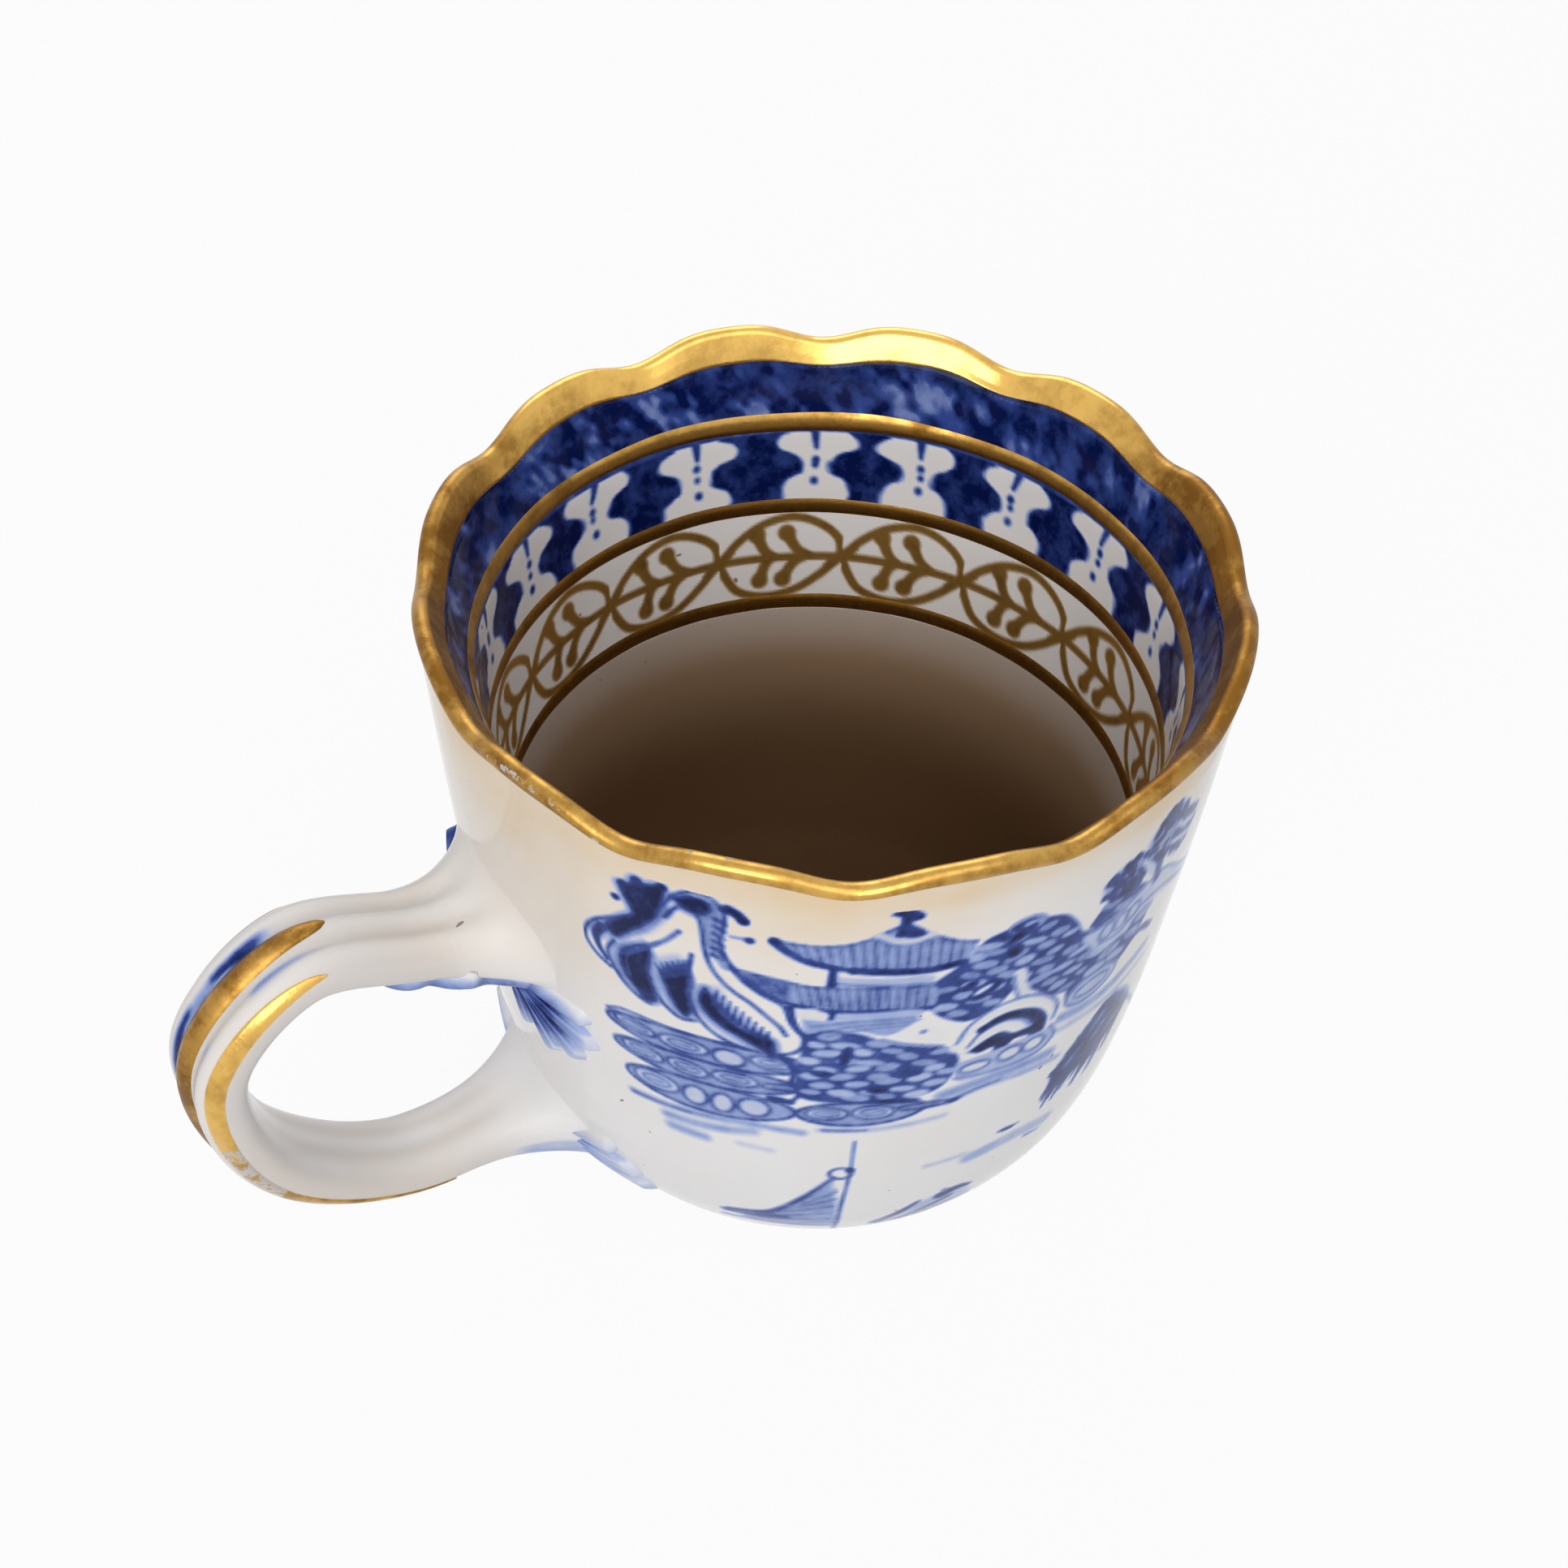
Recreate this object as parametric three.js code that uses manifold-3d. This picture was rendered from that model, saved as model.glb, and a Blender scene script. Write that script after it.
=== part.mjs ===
// Porcelain cup with a lobed rim and a ribbed loop handle.
// The bowl stands on a foot ring. Leaf sprigs cover the joints of the handle, and fired gold
// covers the lip, three lines inside the mouth and the ribs of the handle.
// Millimetres, +Z up. The handle points along -X and the table is at z = 0.
import * as THREE from 'three';
import { mergeVertices } from 'three/addons/utils/BufferGeometryUtils.js';
import Module from 'manifold-3d';

// Body of the bowl: its outer curve, in from the radius of the rim
const BODY_HEIGHT = 69.5;
const RIM_RADIUS = 38;
const WAIST_INSET = 1.8;
const WAIST_DROP = 24;
const BELLY_INSET = 4.7;
const BELLY_HEIGHT = 20.3;
const HIP_INSET = 7.1;
const HIP_HEIGHT = 11.4;
const TURN_INSET = 11;
const TURN_HEIGHT = 5.4;

// Walls of the bowl
const WALL = 4.4;
const LIP_WALL = 2.4;
const LIP_TAPER = 10;
const FLOOR = 4.2;
const FLOOR_SHARE = 0.8;

// Lobes of the rim: a notch between each two lobes, one of them over the handle
const LOBES = 12;
const LOBE_HEIGHT = 1.7;
const LOBE_SWELL = 0.3;
const LOBE_FADE = 4.4;
const LOBE_FLATNESS = 0.2;

// Foot ring
const FOOT_RADIUS = 20.6;
const FOOT_WALL = 2.6;
const FOOT_HEIGHT = 2.8;
const FOOT_TAPER = 0.6;

// Loop of the handle
const UPPER_ROOT_DROP = 27.5;
const LOWER_ROOT_HEIGHT = 14.7;
const HANDLE_REACH = 28.3;
const CROWN_RISE = 6.5;
const STRAP_WIDTH = 10;
const STRAP_THICKNESS = 5.2;
const ROOT_FLARE = 3.4;
const ROOT_FLARE_LENGTH = 11;
const ROOT_SINK = 3;
const RIBS = 3;
const RIB_HEIGHT = 0.32;
const SECTION_POWER = 2.7;
const RIB_FADE_POWER = 4;

// Turns of the loop: out by shares of its reach, up by a share of its crown's rise,
// and down by shares of the span between its roots
const SHOULDER_OUT_SHARE = 0.3;
const SHOULDER_RISE_SHARE = 0.48;
const CROWN_OUT_SHARE = 0.69;
const BACK_FALL_SHARE = 0.06;
const HEEL_OUT_SHARE = 0.9;
const HEEL_FALL_SHARE = 0.64;
const SWEEP_OUT_SHARE = 0.44;
const SWEEP_FALL_SHARE = 1.02;

// Leaf sprigs on the wall: fans of lobes, from a root beside the plane of the handle and below its joint.
// A fan turns from one angle to another, in degrees from level, and its lobes thin out towards their tips.
const LEAF_PROUD = 1.7;
const LEAF_SINK = 1.1;
const LEAF_LOBES = 5;
const LEAF_SCALLOP = 0.1;
const LEAF_GROOVE = 0.28;
const LEAF_SHORTER_SIDES = 0.22;
const LEAF_THINNER_TIPS = 0.7;
const UPPER_LEAF = { away: 4, below: 1.7, reach: 10, turn: [-100, 5] };
const LOWER_LEAF = { away: 2.6, below: 1.3, reach: 11, turn: [-62, 28] };

// Leaf under the upper arm
const UNDERARM_LENGTH = 11;
const UNDERARM_LAP = 2.2;
const UNDERARM_THICKNESS = 1.1;
const UNDERARM_TAPER = 0.75;
const UNDERARM_CURLS = 2.5;
const UNDERARM_CURL = 0.35;
const UNDERARM_FLAT_SHARE = 0.7;

// Gilding
const GILDING = 0.14;
const RIM_GOLD_OUTSIDE = 0.6;
const RIM_GOLD_INSIDE = 2.2;
const LINE_WIDTH = 1.75;
const BORDER_LINE_DROP = 8.5;
const CHAIN_UPPER_DROP = 18.9;
const CHAIN_LOWER_DROP = 31.3;
const SPINE_GOLD = [0.22, 0.64];
const EDGE_GOLD = [0.22, 0.84];

// Clearances: gold over its ground, and slip joints between stuck pieces
const GOLD_GAP = 0.1;
const SLIP_GAP = 0.15;

// Facets
const TURN_STEPS = LOBES * 6;
const BODY_STEPS = 12;
const LIP_STEPS = 4;
const STRAP_STEPS = 36;
const OUTER_FACE_STEPS = 22;
const INNER_FACE_STEPS = 8;
const SPINE_FACETS = 4;
const EDGE_FACETS = 4;
const FAN_STEPS = 28;
const BLADE_STEPS = 7;
const UNDERARM_STEPS = 10;
const CLOSEST_FACET = 0.3;

const wasm = await Module();
wasm.setup();

const porcelain = { color: 0xd9d8d8, roughness: 0.16, metalness: 0 };
const blueGlaze = { color: 0x6f86c4, roughness: 0.18, metalness: 0 };
const gold = { color: 0xb07a2c, roughness: 0.34, metalness: 0.95 };

const cup = new THREE.Group();
cup.name = 'porcelain_cup';

function addPiece(name, geometry, finish) {
  geometry.computeVertexNormals();
  const mesh = new THREE.Mesh(geometry, new THREE.MeshStandardMaterial(finish));
  mesh.name = name;
  cup.add(mesh);
}

// Solids

function welded(geometry) {
  const bare = geometry.clone();
  bare.deleteAttribute('normal');
  bare.deleteAttribute('uv');
  return mergeVertices(bare, 1e-4);
}

function toSolid(geometry) {
  const bare = welded(geometry);
  return new wasm.Manifold(new wasm.Mesh({
    numProp: 3,
    vertProperties: new Float32Array(bare.attributes.position.array),
    triVerts: new Uint32Array(bare.index.array),
  }));
}

function toGeometry(solid) {
  const { vertProperties, triVerts, numProp } = solid.getMesh();
  const geometry = new THREE.BufferGeometry();
  const position = new Float32Array(vertProperties.length / numProp * 3);
  for (let i = 0; i < position.length / 3; i += 1) {
    for (let k = 0; k < 3; k += 1) position[3 * i + k] = vertProperties[numProp * i + k];
  }
  geometry.setAttribute('position', new THREE.BufferAttribute(position, 3));
  geometry.setIndex(new THREE.BufferAttribute(new Uint32Array(triVerts), 1));
  return geometry;
}

// Closed rings of an even number of points, skinned from the first to the last.
// Each end is capped by strips from one side of its ring to the other.
function loft(rings) {
  const count = rings[0].length;
  const last = (rings.length - 1) * count;
  const index = [];
  for (let i = 0; i + 1 < rings.length; i += 1) {
    for (let j = 0; j < count; j += 1) {
      const a = i * count + j;
      const b = i * count + (j + 1) % count;
      index.push(a, b, b + count, a, b + count, a + count);
    }
  }
  for (let j = 0, k = count - 1; j + 1 < k; j += 1, k -= 1) {
    index.push(k - 1, j + 1, j, k, k - 1, j);
    index.push(last + j, last + j + 1, last + k - 1, last + j, last + k - 1, last + k);
  }
  const geometry = new THREE.BufferGeometry().setFromPoints(rings.flat());
  geometry.setIndex(index);
  return geometry;
}

// Profile of the bowl

const bodyPoints = [
  [FOOT_RADIUS, FOOT_HEIGHT],
  [RIM_RADIUS - TURN_INSET, TURN_HEIGHT],
  [RIM_RADIUS - HIP_INSET, HIP_HEIGHT],
  [RIM_RADIUS - BELLY_INSET, BELLY_HEIGHT],
  [RIM_RADIUS - WAIST_INSET, BODY_HEIGHT - WAIST_DROP],
  [RIM_RADIUS, BODY_HEIGHT - LIP_WALL / 2],
];
const bodyCurve = new THREE.CatmullRomCurve3(
  bodyPoints.map(([r, z]) => new THREE.Vector3(r, 0, z)), false, 'centripetal');
const finePoints = bodyCurve.getPoints(240);

function wallRadius(z) {
  const upper = finePoints.findIndex((p) => p.z >= z);
  if (upper < 1) return upper === 0 ? finePoints[0].x : RIM_RADIUS;
  const [a, b] = [finePoints[upper - 1], finePoints[upper]];
  return a.x + (b.x - a.x) * (z - a.z) / (b.z - a.z);
}

// A point beside the outer curve: positive lift is outside the body
function beside(t, lift) {
  const point = bodyCurve.getPoint(t);
  const along = bodyCurve.getTangent(t);
  return new THREE.Vector2(point.x + along.z * lift, point.z - along.x * lift);
}

// The wall thickens from the lip down to its full thickness
function wallAt(z) {
  const depth = BODY_HEIGHT - LIP_WALL / 2 - z;
  return LIP_WALL + (WALL - LIP_WALL) * THREE.MathUtils.smoothstep(depth, 0, LIP_TAPER);
}

const bodySamples = Array.from({ length: BODY_STEPS + 1 }, (_, i) => i / BODY_STEPS);

// Depth below the rim to the place on the body curve
function sampleAtDrop(drop) {
  return finePoints.findIndex((p) => p.z >= BODY_HEIGHT - drop) / (finePoints.length - 1);
}

// Places where the gilding starts and ends: the walls have a step there, so that gold lies flat on them
const goldOutside = sampleAtDrop(LIP_WALL / 2 + RIM_GOLD_OUTSIDE);
const goldInside = sampleAtDrop(LIP_WALL / 2 + RIM_GOLD_INSIDE);
const lineEdges = [BORDER_LINE_DROP, CHAIN_UPPER_DROP, CHAIN_LOWER_DROP].map((drop) => [
  sampleAtDrop(drop + LINE_WIDTH / 2),
  sampleAtDrop(drop - LINE_WIDTH / 2),
]);

function withSteps(samples, extra) {
  const apart = samples.filter((t) => extra.every((e) => Math.abs(e - t) > CLOSEST_FACET / BODY_STEPS));
  return [...apart, ...extra].sort((a, b) => a - b);
}

const outerSamples = [...withSteps(bodySamples.slice(0, -1), [goldOutside]), 1];
const innerSamples = withSteps(bodySamples.slice(1, -1), [goldInside, ...lineEdges.flat()]);

function lipArc(lift, steps) {
  const centre = [RIM_RADIUS - LIP_WALL / 2, BODY_HEIGHT - LIP_WALL / 2];
  const radius = LIP_WALL / 2 + lift;
  return Array.from({ length: steps + 1 }, (_, i) => new THREE.Vector2(
    centre[0] + radius * Math.cos(Math.PI * i / steps),
    centre[1] + radius * Math.sin(Math.PI * i / steps)));
}

function innerPoint(t, lift) {
  return beside(t, -wallAt(bodyCurve.getPoint(t).z) - lift);
}

// Revolved pieces share one set of steps and the lobes of the rim

function lobe(angle) {
  const turn = LOBES * angle + Math.PI;
  return (Math.cos(turn) - LOBE_FLATNESS * Math.cos(2 * turn) + LOBE_FLATNESS) / 2;
}

function revolve(profile) {
  const geometry = new THREE.LatheGeometry(profile, TURN_STEPS);
  geometry.rotateX(Math.PI / 2);
  const position = geometry.attributes.position;
  const point = new THREE.Vector3();
  for (let i = 0; i < position.count; i += 1) {
    point.fromBufferAttribute(position, i);
    const radius = Math.hypot(point.x, point.y);
    const fade = 1 - THREE.MathUtils.smoothstep(BODY_HEIGHT - point.z, 0, LOBE_FADE);
    const wave = radius > RIM_RADIUS / 2 ? fade * lobe(Math.atan2(point.y, point.x)) : 0;
    const grow = radius > 0 ? 1 + LOBE_SWELL * wave / radius : 1;
    position.setXYZ(i, point.x * grow, point.y * grow, point.z + LOBE_HEIGHT * wave);
  }
  return toGeometry(outward(toSolid(geometry)));
}

// Turns a solid whose faces point inwards
function outward(solid) {
  if (solid.volume() > 0) return solid;
  const { vertProperties, triVerts } = solid.getMesh();
  const flipped = Uint32Array.from(triVerts, (_, i) => triVerts[i - i % 3 + 2 - i % 3]);
  return new wasm.Manifold(new wasm.Mesh({ numProp: 3, vertProperties, triVerts: flipped }));
}

function closed(profile) {
  return [...profile, profile[0].clone()];
}

// Bowl

const bowlProfile = [
  new THREE.Vector2(0, FOOT_HEIGHT),
  ...outerSamples.map((t) => beside(t, 0)),
  ...lipArc(0, LIP_STEPS).slice(1),
  ...innerSamples.toReversed().map((t) => innerPoint(t, 0)),
  new THREE.Vector2(FOOT_RADIUS * FLOOR_SHARE, FOOT_HEIGHT + FLOOR),
  new THREE.Vector2(0, FOOT_HEIGHT + FLOOR),
];
addPiece('bowl', revolve(bowlProfile), porcelain);

// Everything stuck to the outside is cut by this envelope of the bowl
const envelopeProfile = [
  new THREE.Vector2(0, FOOT_HEIGHT - SLIP_GAP),
  ...outerSamples.map((t) => beside(t, SLIP_GAP)),
  new THREE.Vector2(0, BODY_HEIGHT),
];
const envelope = toSolid(revolve(envelopeProfile));

// Foot ring

const footTop = FOOT_HEIGHT - SLIP_GAP;
const footInside = FOOT_RADIUS - FOOT_WALL;
addPiece('foot_ring', revolve(closed([
  new THREE.Vector2(footInside + FOOT_TAPER, 0),
  new THREE.Vector2(FOOT_RADIUS - FOOT_TAPER, 0),
  new THREE.Vector2(FOOT_RADIUS - FOOT_TAPER / 2, FOOT_TAPER / 2),
  new THREE.Vector2(FOOT_RADIUS, footTop),
  new THREE.Vector2(footInside, footTop),
  new THREE.Vector2(footInside + FOOT_TAPER / 2, FOOT_TAPER / 2),
])), porcelain);

// Handle: a strap swept round its loop, in the plane y = 0

const upperRoot = BODY_HEIGHT - UPPER_ROOT_DROP;
const upperWall = wallRadius(upperRoot);
const lowerWall = wallRadius(LOWER_ROOT_HEIGHT);
const rootSpan = upperRoot - LOWER_ROOT_HEIGHT;
const loopPoints = [
  [upperWall - ROOT_SINK, upperRoot],
  [upperWall + SHOULDER_OUT_SHARE * HANDLE_REACH, upperRoot + SHOULDER_RISE_SHARE * CROWN_RISE],
  [upperWall + CROWN_OUT_SHARE * HANDLE_REACH, upperRoot + CROWN_RISE],
  [upperWall + HANDLE_REACH, upperRoot - BACK_FALL_SHARE * rootSpan],
  [upperWall + HEEL_OUT_SHARE * HANDLE_REACH, upperRoot - HEEL_FALL_SHARE * rootSpan],
  [upperWall + SWEEP_OUT_SHARE * HANDLE_REACH, upperRoot - SWEEP_FALL_SHARE * rootSpan],
  [lowerWall - ROOT_SINK, LOWER_ROOT_HEIGHT],
];
const loop = new THREE.CatmullRomCurve3(
  loopPoints.map(([r, z]) => new THREE.Vector3(-r, 0, z)), false, 'centripetal');
const loopLength = loop.getLength();

// The strap swells towards the wall at both roots
function flareAt(u) {
  const fromWall = Math.max(0, Math.min(u, 1 - u) * loopLength - ROOT_SINK);
  return ROOT_FLARE * Math.max(0, 1 - fromWall / ROOT_FLARE_LENGTH) ** 2;
}

// Half section of the strap: the outer face carries the ribs
function faceHeight(across, width, thickness, ribs) {
  const side = Math.abs(2 * across / width);
  const crown = thickness / 2 * Math.max(0, 1 - side ** SECTION_POWER) ** (1 / SECTION_POWER);
  const fade = Math.max(0, 1 - side ** RIB_FADE_POWER);
  return crown + ribs * fade * Math.cos(2 * Math.PI * RIBS * across / width);
}

function strapPlace(u, across, height) {
  const along = loop.getTangentAt(u);
  return loop.getPointAt(u).add(new THREE.Vector3(along.z * height, across, -along.x * height));
}

// Section of the strap, counter-clockwise: the ribbed outer face, then back along the inner face
function strapOutline(u) {
  const width = STRAP_WIDTH + flareAt(u);
  const thickness = STRAP_THICKNESS + flareAt(u);
  const ribs = RIB_HEIGHT * (1 - flareAt(u) / ROOT_FLARE);
  const face = (steps, side, wave) => Array.from({ length: steps }, (_, i) => {
    const across = side * width / 2 * Math.cos(Math.PI * i / steps);
    return new THREE.Vector2(across, side * faceHeight(across, width, thickness, wave));
  });
  return [...face(OUTER_FACE_STEPS, 1, ribs), ...face(INNER_FACE_STEPS, -1, 0)];
}

// The section at a station of the loop, grown all round
function strapRing(u, grow) {
  const outline = strapOutline(u);
  return outline.map((point, i) => {
    const before = outline.at(i - 1);
    const after = outline[(i + 1) % outline.length];
    const along = after.clone().sub(before).normalize();
    return strapPlace(u, point.x + grow * along.y, point.y - grow * along.x);
  });
}

const strapSamples = Array.from({ length: STRAP_STEPS + 1 }, (_, i) => i / STRAP_STEPS);

function strapSolid(grow) {
  return outward(toSolid(loft(strapSamples.map((u) => strapRing(u, grow)))));
}

addPiece('handle_loop', toGeometry(strapSolid(0).subtract(envelope)), porcelain);
const strapClear = strapSolid(SLIP_GAP);

// Gold stripes follow a run of the section's points from one station of the loop to another
function goldStripe(range, points) {
  const stations = strapSamples.filter((u) => u >= range[0] && u <= range[1]);
  const rings = stations.map((u) => {
    const under = strapRing(u, GOLD_GAP);
    const over = strapRing(u, GOLD_GAP + GILDING);
    return [...points.map((k) => over[k]), ...points.map((k) => under[k]).reverse()];
  });
  return toGeometry(outward(toSolid(loft(rings))));
}

const span = (from, to) => Array.from({ length: to - from + 1 }, (_, i) => from + i);
const spineStart = (OUTER_FACE_STEPS - SPINE_FACETS) / 2;
addPiece('spine_gilding', goldStripe(SPINE_GOLD, span(spineStart, spineStart + SPINE_FACETS)), gold);
const nearEdge = span(OUTER_FACE_STEPS - EDGE_FACETS, OUTER_FACE_STEPS);
const farEdge = span(0, EDGE_FACETS);
addPiece('edge_gilding_near', goldStripe(EDGE_GOLD, nearEdge), gold);
addPiece('edge_gilding_far', goldStripe(EDGE_GOLD, farEdge), gold);

// Leaf sprigs on the wall: slices of a fan, each from the root to a scalloped edge

function wallLeaf(side, rootHeight, { away, below, reach, turn }) {
  const rings = Array.from({ length: FAN_STEPS + 1 }, (_, i) => {
    const part = 2 * i / FAN_STEPS - 1;
    const angle = THREE.MathUtils.degToRad(THREE.MathUtils.lerp(turn[0], turn[1], i / FAN_STEPS));
    const wave = Math.cos(Math.PI * (LEAF_LOBES - 0.5) * part);
    const length = reach * (1 + LEAF_SCALLOP * wave) * (1 - LEAF_SHORTER_SIDES * Math.abs(part) ** 3);
    const height = LEAF_PROUD * (1 - LEAF_GROOVE * (1 - wave) / 2);
    const place = (far, lift) => {
      const z = rootHeight - below + far * length * Math.sin(angle);
      const radius = wallRadius(z) + lift;
      const round = Math.PI + side * (away + far * length * Math.cos(angle)) / wallRadius(z);
      return new THREE.Vector3(radius * Math.cos(round), radius * Math.sin(round), z);
    };
    const stops = Array.from({ length: BLADE_STEPS }, (_, k) => (k + 0.5) / (BLADE_STEPS - 0.5));
    const top = stops.map((far) => place(far, height * (1 - LEAF_THINNER_TIPS * far ** 2)));
    const under = stops.map((far) => place(far, -LEAF_SINK));
    return [...top, ...under.reverse()];
  });
  const blade = outward(toSolid(loft(rings)));
  return toGeometry(blade.subtract(envelope).subtract(strapClear));
}

const nearSide = 1;
const farSide = -1;
addPiece('upper_leaf_near', wallLeaf(nearSide, upperRoot, UPPER_LEAF), blueGlaze);
addPiece('upper_leaf_far', wallLeaf(farSide, upperRoot, UPPER_LEAF), blueGlaze);
addPiece('lower_leaf_near', wallLeaf(nearSide, LOWER_ROOT_HEIGHT, LOWER_LEAF), blueGlaze);
addPiece('lower_leaf_far', wallLeaf(farSide, LOWER_ROOT_HEIGHT, LOWER_LEAF), blueGlaze);

// Leaf under the upper arm: a channel that laps up both edges of the strap

function underarmLeaf() {
  const start = (ROOT_SINK + LEAF_PROUD + UNDERARM_THICKNESS) / loopLength;
  const rings = Array.from({ length: UNDERARM_STEPS + 1 }, (_, i) => {
    const a = i / UNDERARM_STEPS;
    const u = start + a * UNDERARM_LENGTH / loopLength;
    const width = STRAP_WIDTH + flareAt(u);
    const thickness = STRAP_THICKNESS + flareAt(u);
    const curl = 1 + UNDERARM_CURL * Math.cos(2 * Math.PI * UNDERARM_CURLS * a);
    const lap = UNDERARM_LAP * (1 - UNDERARM_TAPER * a) * curl;
    const half = (width / 2 + UNDERARM_THICKNESS * UNDERARM_FLAT_SHARE) * (1 - UNDERARM_TAPER * a * a);
    const top = lap - thickness / 2;
    const bottom = -thickness / 2 - UNDERARM_THICKNESS * (1 - UNDERARM_TAPER * a);
    const side = (top + bottom) / 2;
    const flat = UNDERARM_FLAT_SHARE;
    const outline = [[-1, top], [-1, side], [-flat, bottom], [flat, bottom], [1, side], [1, top]];
    return outline.map(([b, h]) => strapPlace(u, b * half, h));
  });
  const blade = outward(toSolid(loft(rings)));
  return toGeometry(blade.subtract(strapClear).subtract(envelope));
}

addPiece('underarm_leaf', underarmLeaf(), blueGlaze);

// Gilding of the rim: one skin over the lip, from outside to inside

function rimSkin(lift) {
  return [beside(goldOutside, lift), ...lipArc(lift, LIP_STEPS), innerPoint(goldInside, lift)];
}

const lipGold = closed([...rimSkin(GOLD_GAP + GILDING), ...rimSkin(GOLD_GAP).reverse()]);
addPiece('rim_gilding', revolve(lipGold), gold);

// Gold lines inside the mouth

function innerLine(edges) {
  const skin = (lift) => edges.map((t) => innerPoint(t, lift));
  return revolve(closed([...skin(GOLD_GAP + GILDING), ...skin(GOLD_GAP).reverse()]));
}

['border_gilt_line', 'chain_upper_line', 'chain_lower_line'].forEach((name, i) => {
  addPiece(name, innerLine(lineEdges[i]), gold);
});

// The origin is under the middle of the whole cup, on the table
const box = new THREE.Box3().setFromObject(cup);
const middle = box.getCenter(new THREE.Vector3());
cup.position.set(-middle.x, -middle.y, -box.min.z);

export default cup;
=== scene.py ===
"""Blue and white porcelain cup with a gilded, lobed rim, dressed round its CAD frame."""

import math

import bmesh
import bpy
import numpy as np
from mathutils import Matrix, Vector


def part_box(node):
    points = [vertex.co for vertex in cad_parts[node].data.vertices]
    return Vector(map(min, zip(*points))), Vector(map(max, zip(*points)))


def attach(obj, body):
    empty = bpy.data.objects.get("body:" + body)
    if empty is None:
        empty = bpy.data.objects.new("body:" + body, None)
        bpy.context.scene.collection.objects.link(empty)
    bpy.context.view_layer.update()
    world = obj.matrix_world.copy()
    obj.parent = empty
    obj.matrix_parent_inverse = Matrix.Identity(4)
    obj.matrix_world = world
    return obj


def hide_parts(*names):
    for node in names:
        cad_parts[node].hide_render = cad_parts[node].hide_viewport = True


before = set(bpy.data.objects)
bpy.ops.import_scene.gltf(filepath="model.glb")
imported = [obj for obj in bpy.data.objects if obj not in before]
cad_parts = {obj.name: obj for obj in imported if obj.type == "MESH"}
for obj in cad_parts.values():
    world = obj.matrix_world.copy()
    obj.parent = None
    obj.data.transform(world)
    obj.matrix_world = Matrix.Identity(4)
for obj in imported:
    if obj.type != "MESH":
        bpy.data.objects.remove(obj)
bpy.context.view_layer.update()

bl_info = {
    "name": "Porcelain Cup",
    "version": (1, 0, 0),
    "blender": (4, 5, 0),
    "location": "View3D > Sidebar > Cup",
    "description": "Models a blue and white porcelain cup with worn gilding",
    "category": "Object",
}

MM = 0.001
FOOT_LOW, FOOT_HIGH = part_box("foot_ring")
AXIS = Vector(((FOOT_LOW.x + FOOT_HIGH.x) / 2, (FOOT_LOW.y + FOOT_HIGH.y) / 2, 0))
PLACE = Matrix.Translation(AXIS) @ Matrix.Scale(MM, 4)

# Angle of the wall that faces the camera, and the one opposite, where each landscape has its zero
FRONT_ANGLE = 235.6
BACK_ANGLE = 55.6
PRINT_RADIUS = 36.0

# How far painted skins stand off the wall, in millimetres: sunk at their edges, proud inside
SKIN_SUNK = -0.015
SKIN_PROUD = 0.015
SKIN_DEPTH = 0.5


# Properties


class CupSizes(bpy.types.PropertyGroup):
    """Sizes of the cup that the pieces are made from."""

    rim_radius: bpy.props.FloatProperty(
        name="Rim radius", description="Outer radius of the mouth", default=0.038, unit="LENGTH")
    body_height: bpy.props.FloatProperty(
        name="Body height", description="Mean height of the rim above the table",
        default=0.0695, unit="LENGTH")
    wall: bpy.props.FloatProperty(
        name="Wall", description="Thickness of the wall", default=0.0044, unit="LENGTH")
    lip_wall: bpy.props.FloatProperty(
        name="Lip", description="Thickness of the wall at the lip", default=0.0024, unit="LENGTH")
    lip_edge: bpy.props.FloatProperty(
        name="Lip edge", description="Thickness of the edge above the bevel of the lip",
        default=0.0015, unit="LENGTH")
    lobes: bpy.props.IntProperty(
        name="Lobes", description="Lobes of the rim", default=12)
    lobe_height: bpy.props.FloatProperty(
        name="Lobe height", description="Rise from a notch of the rim to a lobe",
        default=0.0017, unit="LENGTH")
    foot_radius: bpy.props.FloatProperty(
        name="Foot radius", description="Outer radius of the foot ring", default=0.0206, unit="LENGTH")
    foot_height: bpy.props.FloatProperty(
        name="Foot height", description="Height of the foot ring", default=0.0028, unit="LENGTH")
    handle_reach: bpy.props.FloatProperty(
        name="Handle reach", description="From the wall to the middle of the strap",
        default=0.0283, unit="LENGTH")
    strap_width: bpy.props.FloatProperty(
        name="Strap width", description="Width of the handle's strap", default=0.010, unit="LENGTH")
    strap_thickness: bpy.props.FloatProperty(
        name="Strap thickness", description="Thickness of the handle's strap", default=0.0052, unit="LENGTH")
    gilding: bpy.props.FloatProperty(
        name="Gilding", description="Thickness of the gold with its bond", default=0.00024, unit="LENGTH")
    chain_links: bpy.props.IntProperty(
        name="Chain links", description="Ovals in the gilt chain inside the mouth", default=15)
    pendants: bpy.props.IntProperty(
        name="Pendants", description="Trefoil pendants round the inner border", default=18)


def colour_property(name, description, value):
    return bpy.props.FloatVectorProperty(
        name=name, description=description, subtype="COLOR", size=3, min=0, max=1, default=value)


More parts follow.
